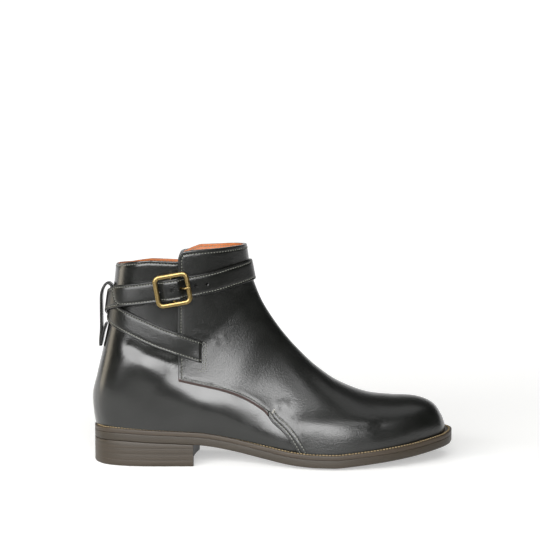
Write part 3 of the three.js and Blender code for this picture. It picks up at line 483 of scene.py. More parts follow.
outer, inner = -1, 1
swell = [(-137, 101), (-119, 91.5), (-108, 82.5), (-96, 75), (-85, 68), (-73, 61.5), (-62, 56.5)]
swell += [(-50, 55.5), (-39, 55.5), (-27, 53), (-15, 52), (-5, 48), (5, 43), (14, 38)]
under_strap = [(-130, 104), (-119, 100.5), (-108, 95.5), (-96, 92.5), (-85, 88.5), (-76, 84)]
toe_bulge = [(12, 35), (40, 36), (62, 36.5), (80, 37.5), (92, 39)]
ridges = [
    # the quarter swells out under the strap and along the free lower edge of the vamp
    (outer, swell, 9, 1.4, 15),
    (outer, under_strap, 5, -1.0),
    # the strap pulls fine folds up to its slit
    (outer, [(-70, 112), (-62, 113), (-52, 109), (-45, 101)], 1.8, 0.16),
    (outer, [(-68, 117), (-58, 117), (-48, 111), (-41, 102)], 1.6, -0.14),
    (outer, [(-66, 121), (-55, 120), (-44, 113), (-38, 104)], 1.8, 0.12),
    # the pucker in front of the bar tack
    (outer, [(1, 50), (8, 53), (15, 50)], 2.4, 0.4),
    (outer, [(3, 46.5), (11, 47), (19, 42)], 1.6, -0.22),
    (outer, [(2, 55), (9, 59), (18, 58)], 2.2, -0.1),
    # the forepart bulges along the line where it turns down to the welt
    (outer, toe_bulge, 8, 1.5, 10),
    (inner, swell, 9, 1.2, 15),
    (inner, under_strap, 5, -0.9),
    (inner, toe_bulge, 8, 1.5, 10),
    (inner, [(1, 50), (8, 53), (15, 50)], 2.4, 0.5),
]


def on_last(rows, across):
    points, t = last_grid(rows, across)
    points = relax_heel_corner(points, t)
    points, faces = merged(points.reshape(-1, 3), grid_faces(rows, across))
    out = normals_of(points, faces)
    lift = sum(ridge_line(points, *ridge) for ridge in ridges)
    points = points + out * lift[:, None]
    return {"point": points, "out": normals_of(points, faces)}, faces


skin, skin_faces = on_last(300, 161)
print(f"skin: {len(skin['point'])} points, {len(skin_faces)} faces")
outward = np.sum(skin["out"][:, 1] * np.sign(skin["point"][:, 1] + 1))
print("skin faces outwards:", bool(outward > 0))
skin_tree = BVHTree.FromPolygons(skin["point"].tolist(), skin_faces.tolist())

# %% Rims and edges, as shares of the feather line's length and of the collar's height
quarter_rim = [(-0.1, 0.855), (0.041, 0.868), (0.06, 0.88), (0.109, 0.901), (0.167, 0.919)]
tab_step = [(0.254, 0.918), (0.256, 0.962)]
tab_rim = [(0.281, 0.985), (0.361, 1.012), (0.428, 1.048), (0.6, 1.12)]
tab_rear = [(0.244, 0.272), (0.241, 0.577), (0.245, 0.911), (0.247, 0.946), (0.255, 0.972)]
vamp_edge = [
    (0.577, -0.01), (0.546, 0.076), (0.507, 0.133), (0.494, 0.162), (0.479, 0.186),
    (0.44, 0.217), (0.401, 0.234), (0.362, 0.243), (0.303, 0.252), (0.244, 0.272),
]
far = 400.0
rim_path = np.concatenate([
    smooth_path(side_places(quarter_rim)),
    side_places(tab_step),
    smooth_path(side_places(tab_rim)),
])
rim_region = np.concatenate([rim_path, [[far, far], [far, -far], [-far, -far], [-far, rim_path[0, 1]]]])
vamp_path = np.concatenate([
    smooth_path(side_places(vamp_edge)),
    smooth_path(side_places(tab_rear[1:] + tab_rim[:1]))[:-1],
    smooth_path(side_places(tab_rim)),
])
vamp_region = np.concatenate([vamp_path, [[far, far], [far, -far], [vamp_path[0, 0], -far]]])

for columns in (skin,):
    columns["rim"] = edge_distance(columns, rim_path, rim_region)
    columns["vamp"] = edge_distance(columns, vamp_path, vamp_region)
    columns["sole"] = columns["point"][:, 2] - upper_bottom(columns["point"][:, 0])
    columns["rear"] = columns["point"][:, 0]
print("under the rim:", int((skin["rim"] > 0).sum()), "on the vamp:", int((skin["vamp"] > 0).sum()))


# %% [markdown]
# ## Materials
#
# Every finish is made of nodes. Colours are written as the eye reads them, in sRGB hex, and
# one function turns them to the linear values that the renderer works in.


# %% Colour and node helpers
def linear(hex_colour):
    values = [int(hex_colour[i : i + 2], 16) / 255 for i in (1, 3, 5)]
    return [v / 12.92 if v <= 0.04045 else ((v + 0.055) / 1.055) ** 2.4 for v in values] + [1]


def add_node(material, kind, inputs=None, **settings):
    """Adds one node. An input is a value, or an output socket of another node."""
    made = material.node_tree.nodes.new(kind)
    for name, value in settings.items():
        setattr(made, name, value)
    for name, value in (inputs or {}).items():
        if isinstance(value, bpy.types.NodeSocket):
            material.node_tree.links.new(value, made.inputs[name])
        else:
            made.inputs[name].default_value = value
    return made


def new_material(name):
    material = bpy.data.materials.new(name)
    material.use_nodes = True
    material.node_tree.nodes.clear()
    return material


def finish_material(material, inputs):
    shader = add_node(material, "ShaderNodeBsdfPrincipled", inputs)
    add_node(material, "ShaderNodeOutputMaterial", {"Surface": shader.outputs["BSDF"]})
    return material


def colours(material, value, stops):
    ramp = add_node(material, "ShaderNodeValToRGB", {"Fac": value})
    while len(ramp.color_ramp.elements) < len(stops):
        ramp.color_ramp.elements.new(0.5)
    for element, (place, colour) in zip(ramp.color_ramp.elements, stops):
        element.position, element.color = place, linear(colour)
    return ramp.outputs["Color"]


def mixed(material, share, first, second):
    """Mixes two colours. A Mix node's share is its first socket, its colours the 7th and 8th."""
    mix = add_node(material, "ShaderNodeMix", {0: share, 6: first, 7: second}, data_type="RGBA")
    return mix.outputs[2]


# %% Calf leather, black and raw-edged
def calf_leather(name, grain, polish, coat=0.3):
    """Aniline black calf: smooth, tight-grained and waxed to a soft gloss."""
    material = new_material(name)
    place = add_node(material, "ShaderNodeTexCoord").outputs["Object"]
    # Calf grain is about 0.5 mm across. It is drawn at about 1.2 mm, so that it shows.
    pebble = add_node(
        material, "ShaderNodeTexVoronoi", {"Vector": place, "Scale": 850.0}, feature="SMOOTH_F1"
    ).outputs["Distance"]
    cloud = add_node(
        material, "ShaderNodeTexNoise", {"Vector": place, "Scale": 60.0, "Detail": 5.0}
    ).outputs["Fac"]
    fine = add_node(
        material, "ShaderNodeTexNoise", {"Vector": place, "Scale": 1500.0, "Detail": 3.0}
    ).outputs["Fac"]
    edge = add_node(material, "ShaderNodeAttribute", attribute_name="edge").outputs["Fac"]
    raw = add_node(
        material, "ShaderNodeMapRange", {"Value": edge, "From Min": 0.75, "From Max": 1.0}
    ).outputs["Result"]
    dyed = colours(material, cloud, [(0.3, "#0a0b09"), (0.7, "#111210")])
    colour = mixed(material, raw, linear("#28140e"), dyed)
    gloss = add_node(
        material,
        "ShaderNodeMapRange",
        {"Value": cloud, "From Min": 0.3, "From Max": 0.7, "To Min": polish, "To Max": polish + 0.07},
    ).outputs["Result"]
    # The grain is drawn out along the pull of the lasting, up and forwards.
    pull = add_node(
        material, "ShaderNodeMapping", {"Vector": place, "Rotation": (0, 0.75, 0), "Scale": (300, 300, 750)}
    ).outputs["Vector"]
    drawn = add_node(material, "ShaderNodeTexNoise", {"Vector": pull, "Scale": 1.0}).outputs["Fac"]
    both = add_node(material, "ShaderNodeMath", {0: pebble, 1: fine}, operation="ADD").outputs["Value"]
    height = add_node(material, "ShaderNodeMath", {0: both, 1: drawn}, operation="ADD").outputs["Value"]
    bump = add_node(
        material, "ShaderNodeBump", {"Height": height, "Strength": grain, "Distance": 0.0002}
    ).outputs["Normal"]
    return finish_material(
        material,
        {
            "Base Color": colour,
            "Roughness": gloss,
            "Normal": bump,
            "IOR": 1.5,
            "Coat Weight": coat,
            "Coat Roughness": 0.2,
        },
    )


calf_quarter = calf_leather("black calf leather, smooth", 0.15, 0.2)
calf_vamp = calf_leather("black calf leather, grained", 0.5, 0.3)
calf_strap = calf_leather("black calf leather, strap", 0.3, 0.27, 0)


# %% Lining, sole leather, thread and brass
def lining_leather():
    """Vegetable-tanned lining leather: orange tan, matt, with a faint mottle."""
    material = new_material("vegetable-tanned lining leather")
    place = add_node(material, "ShaderNodeTexCoord").outputs["Object"]
    cloud = add_node(
        material, "ShaderNodeTexNoise", {"Vector": place, "Scale": 45.0, "Detail": 6.0}
    ).outputs["Fac"]
    grain = add_node(
        material, "ShaderNodeTexNoise", {"Vector": place, "Scale": 1100.0, "Detail": 3.0}
    ).outputs["Fac"]
    bump = add_node(
        material, "ShaderNodeBump", {"Height": grain, "Strength": 0.25, "Distance": 0.00015}
    ).outputs["Normal"]
    colour = colours(material, cloud, [(0.3, "#9c5626"), (0.7, "#ad6331")])
    return finish_material(
        material, {"Base Color": colour, "Roughness": 0.55, "Normal": bump, "IOR": 1.5}
    )


def sole_leather(name, dark, light, streak_depth, painted_shade_front=False):
    """Bark-tanned sole leather, its edge dyed taupe and burnished, with the fibre showing.

    With painted_shade_front, what faces forward is painted near black: painted shade on the heel's breast,
    which lies in shadow.
    """
    material = new_material(name)
    place = add_node(material, "ShaderNodeTexCoord").outputs["Object"]
    # The fibre lies in layers about 0.7 mm thick and runs on for centimetres round the edge.
    layers = add_node(
        material, "ShaderNodeMapping", {"Vector": place, "Scale": (14.0, 14.0, 900.0)}
    ).outputs["Vector"]
    streaks = add_node(
        material, "ShaderNodeTexNoise", {"Vector": layers, "Scale": 1.0, "Detail": 4.0}
    ).outputs["Fac"]
    colour = colours(material, streaks, [(0.32, dark), (0.68, light)])
    # Painted shade: the heel's forward-facing breast lies in shadow, so it is coloured near black.
    if painted_shade_front:
        facing = add_node(material, "ShaderNodeNewGeometry").outputs["Normal"]
        forward = add_node(material, "ShaderNodeSeparateXYZ", {"Vector": facing}).outputs["X"]
        painted_shade = add_node(
            material, "ShaderNodeMapRange", {"Value": forward, "From Min": 0.6, "From Max": 0.8}
        ).outputs["Result"]
        colour = mixed(material, painted_shade, colour, linear("#0d0b09"))
    bump = add_node(
        material,
        "ShaderNodeBump",
        {"Height": streaks, "Strength": streak_depth, "Distance": 0.0002},
    ).outputs["Normal"]
    return finish_material(
        material, {"Base Color": colour, "Roughness": 0.48, "Normal": bump, "IOR": 1.5}
    )


def plain_material(name, colour, roughness, **more):
    material = new_material(name)
    place = add_node(material, "ShaderNodeTexCoord").outputs["Object"]
    grain = add_node(
        material, "ShaderNodeTexNoise", {"Vector": place, "Scale": 900.0, "Detail": 3.0}
    ).outputs["Fac"]
    rough = add_node(
        material,
        "ShaderNodeMapRange",
        {"Value": grain, "To Min": roughness - 0.05, "To Max": roughness + 0.05},
    ).outputs["Result"]
    inputs = {"Base Color": linear(colour), "Roughness": rough}
    return finish_material(material, {**inputs, **more})


lining = lining_leather()
sole_edge = sole_leather("bark-tanned sole leather", "#241d12", "#2d251a", 0.1)
# The heel's material paints shade, near black, on its forward-facing breast.
heel_edge = sole_leather("stacked heel leather", "#261f14", "#31281d", 0.1, painted_shade_front=True)
welt_edge = sole_leather("welt leather", "#2a2116", "#362c20", 0.12)
# The thread is black. Its mid grey colour is a painted highlight, the sheen that its beads show.
black_thread = plain_material("black linen thread, painted grey highlight", "#65665e", 0.45)
welt_thread = plain_material("waxed natural linen thread", "#94815f", 0.6)
brass = plain_material("satin brass", "#8f7b50", 0.34, Metallic=1.0)
bar_tack_thread = plain_material("waxed grey linen thread", "#8d8b84", 0.5)


# %% [markdown]
# ## Pieces
#
# One function turns points and faces into an object, moves it from the working frame to the
# packed one and lets it ride on the boot.

# %% Making a piece
low_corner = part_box("outsole")[0]
shift = np.array([low_corner.x / MM, low_corner.y / MM + sole_rows["outer"].max() * ball_width, 0])
print("shift from the heel end:", np.round(shift, 2))


def make_piece(name, points, faces, material, nodes=(), sharp=42, columns=None):
    mesh = bpy.data.meshes.new(name)
    mesh.from_pydata(((points + shift) * MM).tolist(), [], [list(f) for f in faces])
    mesh.validate()
    mesh.shade_smooth()
    mesh.set_sharp_from_angle(angle=math.radians(sharp))
    for key, values in (columns or {}).items():
        mesh.attributes.new(key, "FLOAT", "POINT").data.foreach_set("value", values)
    mesh.materials.append(material)
    piece = bpy.data.objects.new(name, mesh)
    bpy.context.scene.collection.objects.link(piece)
    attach(piece, "root")
    if nodes:
        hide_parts(*nodes)
    size = (points.max(0) - points.min(0)).round(1)
    print(f"{name}: {len(faces)} faces, {size} mm")
    return piece


def edge_rounding(distance, radius):
    """How far a rounded edge falls below the flat, at a distance from the cut."""
    u = np.clip(1 - distance / radius, 0, 1)
    return radius * (1 - np.sqrt(1 - u**2))


def groove(distance, place, width, depth):
    return depth * np.exp(-(((distance - place) / width) ** 2))


# %% [markdown]
# ## Stitches
#
# A stitch is a short run of waxed thread that sinks into the leather at both ends. Each one is
# a small pointed bead, laid along the line of its seam at the seam's own pitch.


# %% Stitch rows
def runs_on(sheet, name, level, least=12.0):
    """The lines where a column of the sheet has a value, as ordered rows of corners."""
    columns, faces = sheet
    on = columns[name] == level
    edges = np.sort(np.concatenate([faces[:, [0, 1]], faces[:, [1, 2]], faces[:, [2, 0]]]), 1)
    edges = np.unique(edges[on[edges[:, 0]] & on[edges[:, 1]]], axis=0)
    joins = {}
    for a, b in edges.tolist():
        joins.setdefault(a, []).append(b)
        joins.setdefault(b, []).append(a)
    runs, seen = [], set()
    starts = sorted(joins, key=lambda n: len(joins[n]) != 1)
    for start in starts:
        if start in seen:
            continue
        run, here = [start], start
        seen.add(start)
        while True:
            ahead = [n for n in joins[here] if n not in seen]
            if not ahead:
                break
            here = ahead[0]
            seen.add(here)
            run.append(here)
        length = np.linalg.norm(np.diff(columns["point"][run], axis=0), axis=1).sum()
        if length > least:
            runs.append(np.array(run))
    return runs


def stitch_beads(path, out, pitch, length, width, height):
    """Bead points for one row of stitches along a path of points with its outward normals."""
    lengths = np.concatenate([[0], np.cumsum(np.linalg.norm(np.diff(path, axis=0), axis=1))])
    count = max(int(lengths[-1] / pitch), 1)
    middles = (np.arange(count) + 0.5) * lengths[-1] / count

    def at(values, place):
        return np.stack([np.interp(place, lengths, column) for column in values.T], 1)

    along = at(path, middles + length / 2) - at(path, middles - length / 2)
    along /= np.maximum(np.linalg.norm(along, axis=1)[:, None], 1e-9)
    up = at(out, middles)
    across = np.cross(up, along)
    across /= np.maximum(np.linalg.norm(across, axis=1)[:, None], 1e-9)
    rings, sides = 5, 6
    latitude = np.linspace(0, math.pi, rings)
    around = np.arange(sides) * 2 * math.pi / sides
    x = (-np.cos(latitude)[:, None] * np.ones(sides) * length / 2).ravel()
    y = (np.sin(latitude)[:, None] * np.cos(around) * width / 2).ravel()
    z = (np.sin(latitude)[:, None] * np.sin(around) * height / 2).ravel()
    centre = at(path, middles)
    bead = (
        centre[:, None]
        + along[:, None] * x[None, :, None]
        + across[:, None] * y[None, :, None]
        + up[:, None] * z[None, :, None]
    )
    a = (np.arange(rings - 1)[:, None] * sides + np.arange(sides)).ravel()
    b = (np.arange(rings - 1)[:, None] * sides + (np.arange(sides) + 1) % sides).ravel()
    quads = np.stack([a, b, b + sides, a + sides], 1)
    faces = (np.arange(count)[:, None, None] * rings * sides + quads[None]).reshape(-1, 4)
    return bead.reshape(-1, 3), faces


def stitch_row(name, rows, thread, pitch=2.6, length=1.7, width=0.85, height=0.75):
    points, faces, count = [], [], 0
    for path, out in rows:
        bead, quads = stitch_beads(path, out, pitch, length, width, height)
        points.append(bead)
        faces.append(quads + count)
        count += len(bead)
    return make_piece(name, np.concatenate(points), np.concatenate(faces), thread)


def rows_on(sheet, name, level, lift, only=None):
    columns = sheet[0]
    rows = []
    for run in runs_on(sheet, name, level):
        if only is not None:
            run = run[only(columns["point"][run])]
        if len(run) > 4:
            path = columns["point"][run] + columns["out"][run] * lift
            rows.append((path, columns["out"][run]))
    return rows


# %% [markdown]
# ## Quarters and lining
#
# The quarters are the two sides of the boot behind the vamp. Their black calf is about 1.1 mm
# thick and backed with tan lining leather, and both are turned to meet at the collar, where a
# row of stitches closes them. Two shells in one stack show both leathers at the rim.

# %% The quarters
quarter_leather = 1.1
stitch_in = 2.4


def trimmed(sheet, name, extra=()):
    """Cuts a sheet at the edge and lays the loops that its rounding and its groove need."""
    sheet = split(sheet, name, 0.0, keep_above=True)
    for level in (0.25, 0.7, stitch_in - 0.5, stitch_in, stitch_in + 0.5, *extra):
        sheet = split(sheet, name, level)
    return sheet


quarter_sheet = split((skin, skin_faces), "sole", 0.0, keep_above=True)
under_vamp = {**quarter_sheet[0], "outside": -quarter_sheet[0]["vamp"]}
quarter_sheet = split((under_vamp, quarter_sheet[1]), "outside", -9.0, keep_above=True)
quarter_sheet = trimmed(quarter_sheet, "rim")
columns = quarter_sheet[0]
visible = np.clip(-columns["vamp"] / 1.5, 0, 1)
fall = edge_rounding(columns["rim"], 0.6) + groove(columns["rim"], stitch_in, 0.5, 0.28)
seam = 0.45 * np.exp(-((columns["point"][:, 1] / 0.9) ** 2)) * (columns["point"][:, 0] < 40)
quarter_top = -fall * visible - seam
points, faces = shell(quarter_sheet, quarter_top, -quarter_leather)
edge = np.full(len(points), 2.0)
quarters = make_piece(
    "quarters", points, faces, calf_quarter, ["upper"], columns={"edge": edge}
)
rim_rows = rows_on(
    quarter_sheet, "rim", stitch_in, -0.12, only=lambda p: p[:, 0] < feather_back + 0.25 * feather_length
)
stitch_row("quarter_rim_stitches", rim_rows, black_thread)

# %% The lining
lining_skin, lining_faces = on_last(170, 97)
lining_skin["rim"] = edge_distance(lining_skin, rim_path, rim_region)
lining_skin["sole"] = lining_skin["point"][:, 2] - upper_bottom(lining_skin["point"][:, 0])
lining_sheet = split((lining_skin, lining_faces), "sole", 0.5, keep_above=True)
lining_sheet = split(lining_sheet, "rim", 0.15, keep_above=True)
for level in (0.45, 0.9, stitch_in - 0.5, stitch_in, stitch_in + 0.5):
    lining_sheet = split(lining_sheet, "rim", level)
columns = lining_sheet[0]
rounding = edge_rounding(columns["rim"] - 0.15, 0.5)
groove_depth = groove(columns["rim"], stitch_in, 0.5, 0.25)
points, faces = shell(lining_sheet, -quarter_leather - 0.05, -upper_wall + rounding + groove_depth)
make_piece("lining", points, faces, lining)
lining_rows = rows_on(lining_sheet, "rim", stitch_in, -upper_wall + 0.12)
stitch_row("lining_stitches", lining_rows, black_thread)

# %% [markdown]
# ## Vamp
#
# The vamp is one piece of calf that wraps the whole front and runs back on both sides as tall
# tabs. Its lower edge lies free on the quarter as far as the bar tack, so the cut shows as a
# thin red-brown line. From the tack to the sole two rows of stitches hold it down.

# %% The vamp
vamp_bottom = 0.08
vamp_top = clearance + vamp_thickness
vamp_sheet = split((skin, skin_faces), "sole", 0.0, keep_above=True)
raw_width, vamp_stitch_in, second_row = 2.0, 3.1, 6.9
tab_foot = float(side_places(tab_rear[:1])[0, 1]) + 3
loops = [0.25, 0.7, 1.3, raw_width]
for place in (vamp_stitch_in, second_row):
    loops += [place - 0.5, place, place + 0.5]
vamp_sheet = split(vamp_sheet, "vamp", 0.0, keep_above=True)
for level in loops:
    vamp_sheet = split(vamp_sheet, "vamp", level)
columns = vamp_sheet[0]
tack_height = 47.0
held = columns["point"][:, 2] < tack_height
low_front = held & (columns["point"][:, 0] > 150)
lower_edge = columns["point"][:, 2] < tab_foot
free = lower_edge & ~low_front
stand_off = np.where(free, 0.7 * np.exp(-((columns["vamp"] / 5) ** 2)), 0)
bevel = 1.3 * np.clip(1 - columns["vamp"] / raw_width, 0, 1) ** 1.3
fall = np.where(free, bevel, edge_rounding(columns["vamp"], 0.55))
fall += groove(columns["vamp"], vamp_stitch_in, 0.5, 0.3)
fall += np.where(low_front, groove(columns["vamp"], second_row, 0.5, 0.3), 0)
press = np.where(low_front, 0.9 * np.exp(-((columns["vamp"] / 3.5) ** 2)), 0)
points, faces = shell(vamp_sheet, vamp_top + stand_off - fall - press, vamp_bottom + stand_off)
edge_values = np.where(free, columns["vamp"] / raw_width, 2.0)
edge = np.tile(np.minimum(edge_values, 3), 2)
make_piece("vamp_calf", points, faces, calf_vamp, ["vamp"], columns={"edge": edge})
vamp_rows = rows_on(vamp_sheet, "vamp", vamp_stitch_in, vamp_top + 0.1)
stitch_row("vamp_edge_stitches", vamp_rows, black_thread)
low_rows = rows_on(
    vamp_sheet, "vamp", second_row, vamp_top + 0.05, only=lambda p: (p[:, 2] < tack_height) & (p[:, 0] > 150)
)
stitch_row("vamp_seam_stitches", low_rows, black_thread)


# %% [markdown]
# ## Straps
#
# Both straps are 18 mm bands of folded calf, stitched 2 mm in from their edges. They lie on
# the skin, on the vamp and on each other, so the height of each place is worked out from what
# is under it. A ray from the ankle's axis finds the skin, and the band is laid flat across it.

# %% Where the straps run
strap_width, strap_thickness, strap_gap = 18.0, 2.2, 0.5
ankle_axis = feather_back + feather_length * 0.248
seat_height = upper_bottom(np.array(0.0))
long_rows = table(
    "turn up straps on_vamp",
    [
        [0.13, 0.405, 0, 1],
        [0.161, 0.418, 0, 1],
        [0.262, 0.468, 0, 1],
        [0.333, 0.506, 0, 0],
        [0.426, 0.59, 0, 0],
        [0.5, 0.645, 0, 0],
        [0.6, 0.7, 0, 0],
        [0.67, 0.732, 0, 0],
        [0.74, 0.762, 0, 1],
        [0.88, 0.82, 0, 1],
        [1.0, 0.848, 0, 1],
        [1.06, 0.83, 0, 1],
        [1.121, 0.801, 0, 1],
        [1.25, 0.771, 0, 1],
        [1.3, 0.759, 1, 0],
        [1.36, 0.743, 1, 0],
        [1.42, 0.723, 2, 0],
        [1.452, 0.711, 2, 0],
    ],
)
short_rows = table(
    "turn up straps on_vamp",
    [
        [0.276, 0.765, 0, 0],
        [0.36, 0.743, 0, 0],
        [0.42, 0.722, 1, 0],
        [0.5, 0.67, 1, 0],
        [0.574, 0.59, 1, 0],
        [0.62, 0.547, 1, 0],
        [0.667, 0.506, 0, 0],
        [0.738, 0.468, 0, 1],
        [0.839, 0.418, 0, 1],
        [0.87, 0.405, 0, 1],
    ],
)


def eased(rows, name, turn):
    x, y = rows["turn"], rows[name]
    i = np.clip(np.searchsorted(x, turn, side="left") - 1, 0, len(x) - 2)
    u = np.clip((turn - x[i]) / (x[i + 1] - x[i]), 0, 1)
    return y[i] + (y[i + 1] - y[i]) * u**2 * (3 - 2 * u)


def strap_lift(rows, turn):
    on_straps = eased(rows, "straps", turn) * (strap_thickness + strap_gap)
    return strap_gap + on_straps + eased(rows, "on_vamp", turn) * (vamp_thickness + 2 * clearance)


def skin_at(turn, height):
    """The place where a level ray from the ankle's axis leaves the skin."""
    angle = 2 * math.pi * turn
    start = Vector((ankle_axis, 0, height))
    ray = Vector((math.cos(angle), -math.sin(angle), 0))
    hit = skin_tree.ray_cast(start, ray)[0]
    return np.array(hit if hit is not None else start + ray * 30)


def strap_middle(rows, turns):
    heights = seat_height + collar_height * smooth_column(rows, "turn", "up")(turns)
    return np.array([skin_at(turn, height) for turn, height in zip(turns, heights)])


def smoothed(values, width):
    reach = np.arange(-3 * width, 3 * width + 1)
    weight = np.exp(-0.5 * (reach / width) ** 2)
    weight /= weight.sum()
    edge_count = 3 * width
    first = 2 * values[:1] - values[edge_count:0:-1]
    final = 2 * values[-1:] - values[-2 : -edge_count - 2 : -1]
    padded = np.concatenate([first, values, final])
    count = len(values)
    return sum(w * padded[edge_count + k : edge_count + k + count] for k, w in zip(reach, weight))


def strap_frame(rows, start, end, step):
    """Stations along a strap: turn, place, direction, the way out and the way across."""
    fine = np.linspace(start, end, 600)
    middle = strap_middle(rows, fine)
    reach = np.concatenate([[0], np.cumsum(np.linalg.norm(np.diff(middle, axis=0), axis=1))])
    turns = np.interp(np.linspace(0, reach[-1], int(reach[-1] / step) + 1), reach, fine)
    middle = strap_middle(rows, turns)
    direction = np.gradient(smoothed(middle, 3), axis=0)
    rise = 1.5
    above = np.array([skin_at(turn, p[2] + rise) for turn, p in zip(turns, middle)])
    under = np.array([skin_at(turn, p[2] - rise) for turn, p in zip(turns, middle)])
    out = np.cross(above - under, direction)
    out = smoothed(out / np.linalg.norm(out, axis=1)[:, None], 3)
    out /= np.linalg.norm(out, axis=1)[:, None]
    direction -= out * np.sum(direction * out, 1)[:, None]
    direction /= np.linalg.norm(direction, axis=1)[:, None]
    length = np.concatenate([[0], np.cumsum(np.linalg.norm(np.diff(middle, axis=0), axis=1))])
    return {
        "turn": turns,
        "place": middle,
        "out": out,
        "direction": direction,
        "across": np.cross(out, direction),
        "length": length,
    }


def strap_sheet(rows, stations, step, raise_lift):
    """A flat band laid across the skin along the stations, with its height above the skin."""
    count = int(strap_width / step) + 1
    v = np.linspace(-strap_width / 2, strap_width / 2, count + (count + 1) % 2)
    spots = stations["place"][:, None] + stations["across"][:, None] * v[None, :, None]
    turn = np.arctan2(-spots[..., 1], spots[..., 0] - ankle_axis) / (2 * math.pi)
    turn += np.round(stations["turn"][:, None] - turn)
    on_skin = np.array(
        [[skin_at(a, z) for a, z in zip(line, heights)] for line, heights in zip(turn, spots[..., 2])]
    )
    on_skin = smoothed(on_skin, 2)
    ahead, beside = np.gradient(on_skin, axis=0), np.gradient(on_skin, axis=1)
    out = np.cross(beside, ahead)
    out /= np.linalg.norm(out, axis=2)[..., None]
    out *= np.sign(np.sum(out * stations["out"][:, None], 2))[..., None]
    lift = raise_lift(on_skin, strap_lift(rows, turn))
    along = np.repeat(stations["length"][:, None], len(v), 1)
    columns = {
        "point": on_skin.reshape(-1, 3),
        "out": out.reshape(-1, 3),
        "lift": lift.ravel(),
        "along": along.ravel(),
        "across": np.repeat(v[None], len(along), 0).ravel(),
    }
    faces = grid_faces(len(along), len(v))
    sheet_normals = normals_of(columns["point"], faces)
    if np.sum(sheet_normals * columns["out"]) < 0:
        faces = faces[:, ::-1]
    return columns, faces


# %% The buckle's own frame
frame_length, frame_height, frame_bar, frame_thickness = 30.5, 28.0, 3.8, 2.6
bar_radius, prong_diameter, chape_leather = 1.5, 2.0, 1.1
barrel_radius = bar_radius + clearance + chape_leather
bar_height = strap_gap + barrel_radius
frame_bottom = 2 * (strap_thickness + 2 * strap_gap)
prong_height = frame_bottom + frame_thickness + clearance + prong_diameter / 2
bar_turn = 1.276
bar_stations = strap_frame(long_rows, bar_turn - 0.08, bar_turn + 0.08, 1.0)
bar_station = int(np.argmin(np.abs(bar_stations["turn"] - bar_turn)))
bar = {name: values[bar_station] for name, values in bar_stations.items()}
bar_out, bar_across = bar["out"], -bar["across"]
towards_toe = -bar["direction"]
bar_place = strap_middle(long_rows, np.array([bar_turn]))[0]
print("buckle at", bar_place.round(1), "facing", bar_out.round(2))


def at_buckle(points):
    x, y, z = np.asarray(points, float).T
    return bar_place + np.outer(x, towards_toe) + np.outer(y, bar_across) + np.outer(z, bar_out)


bump_end = frame_length / 2 - frame_bar
bump_flat = 3 * bar_radius


def hump_over_bar(skin_points, lift):
    """The long strap rises over the short strap's end and the buckle's bar."""
    delta = skin_points - bar_place
    away = np.abs(delta @ towards_toe)
    near = (away < bump_end) & (np.linalg.norm(delta, axis=-1) < strap_width)
    u = np.clip((bump_end - away) / (bump_end - bump_flat), 0, 1)
    top = bar_height + barrel_radius + clearance
    return np.where(near, lift + (np.maximum(top, lift) - lift) * u**2 * (3 - 2 * u), lift)


# %% The long strap
slit_x = feather_back + feather_length * 0.308
strap_stitch_in = 2.0


def strap_shell(sheet, extra_fall=0):
    """The band's own thickness: rounded edges, a stitched groove and a soft crown between."""
    columns = sheet[0]
    edge, side = columns["edge"], columns["side"]
    crown = 0.25 * np.clip((side - strap_stitch_in) / 4, 0, 1) ** 0.5
    fall = edge_rounding(edge, 0.8) + groove(side, strap_stitch_in, 0.5, 0.3) - crown
    top = columns["lift"] + strap_thickness - 0.2 - fall - extra_fall
    under = columns["lift"] + edge_rounding(edge, 0.5)
    columns["top"] = top
    return shell(sheet, top, under)


def cut_strap(sheet):
    """Cuts a band out. Its side column is the distance to the outside, its edge column to holes too."""
    sheet[0].setdefault("side", sheet[0]["edge"])
    sheet = split(sheet, "edge", 0.0, keep_above=True)
    for level in (0.15, 0.4, 0.8, strap_stitch_in - 0.5, strap_stitch_in, strap_stitch_in + 0.5):
        sheet = split(sheet, "edge", level, snap=0.04)
    return sheet


def strap_rows(sheet):
    columns = sheet[0]
    rows = []
    for run in runs_on(sheet, "edge", strap_stitch_in):
        run = run[columns["side"][run] < strap_stitch_in + 0.4]
        if len(run) > 4:
            lift = columns["top"][run][:, None] + 0.22
            rows.append((columns["point"][run] + columns["out"][run] * lift, columns["out"][run]))
    return rows


long_stations = strap_frame(long_rows, long_rows["turn"][0], long_rows["turn"][-1], 1.3)
second_pass = np.abs(long_stations["turn"] - bar_turn) < 0.2
columns, faces = strap_sheet(
    long_rows,
    long_stations,
    1.2,
    lambda skin_points, lift: np.where(second_pass[:, None], hump_over_bar(skin_points, lift), lift),
)
length = long_stations["length"][-1] - 2.5
tip_round, tip_slant = 6.0, 0.22
across = np.abs(columns["across"])
uphill = np.sign(long_stations["across"][-1, 2])
below_top = strap_width / 2 - uphill * columns["across"]
from_tip = length - columns["along"] - tip_slant * np.maximum(below_top - 4, 0)
corner_x = np.maximum(tip_round - from_tip, 0)
corner_y = np.maximum(across - (strap_width / 2 - tip_round), 0)
to_side = strap_width / 2 - across
columns["edge"] = np.where(
    from_tip < tip_round,
    np.where(corner_y > 0, tip_round - np.hypot(corner_x, corner_y), from_tip),
    to_side,
)
columns["edge"] = np.minimum(columns["edge"], to_side)
columns["side"] = columns["edge"].copy()
bar_along = float(np.interp(bar_turn, long_stations["turn"], long_stations["length"]))
hole_pitch, hole_radius = 9.3, 1.1
for count in (-1, 0, 2, 3):
    place = bar_along - count * hole_pitch
    hole = np.hypot(columns["along"] - place, columns["across"]) - hole_radius
    columns["edge"] = np.where(hole < 1.2, np.minimum(columns["edge"], hole), columns["edge"])
slot_from, slot_to, slot_half = frame_length / 4 - 2.0, frame_length / 4 + 3.6, 1.3
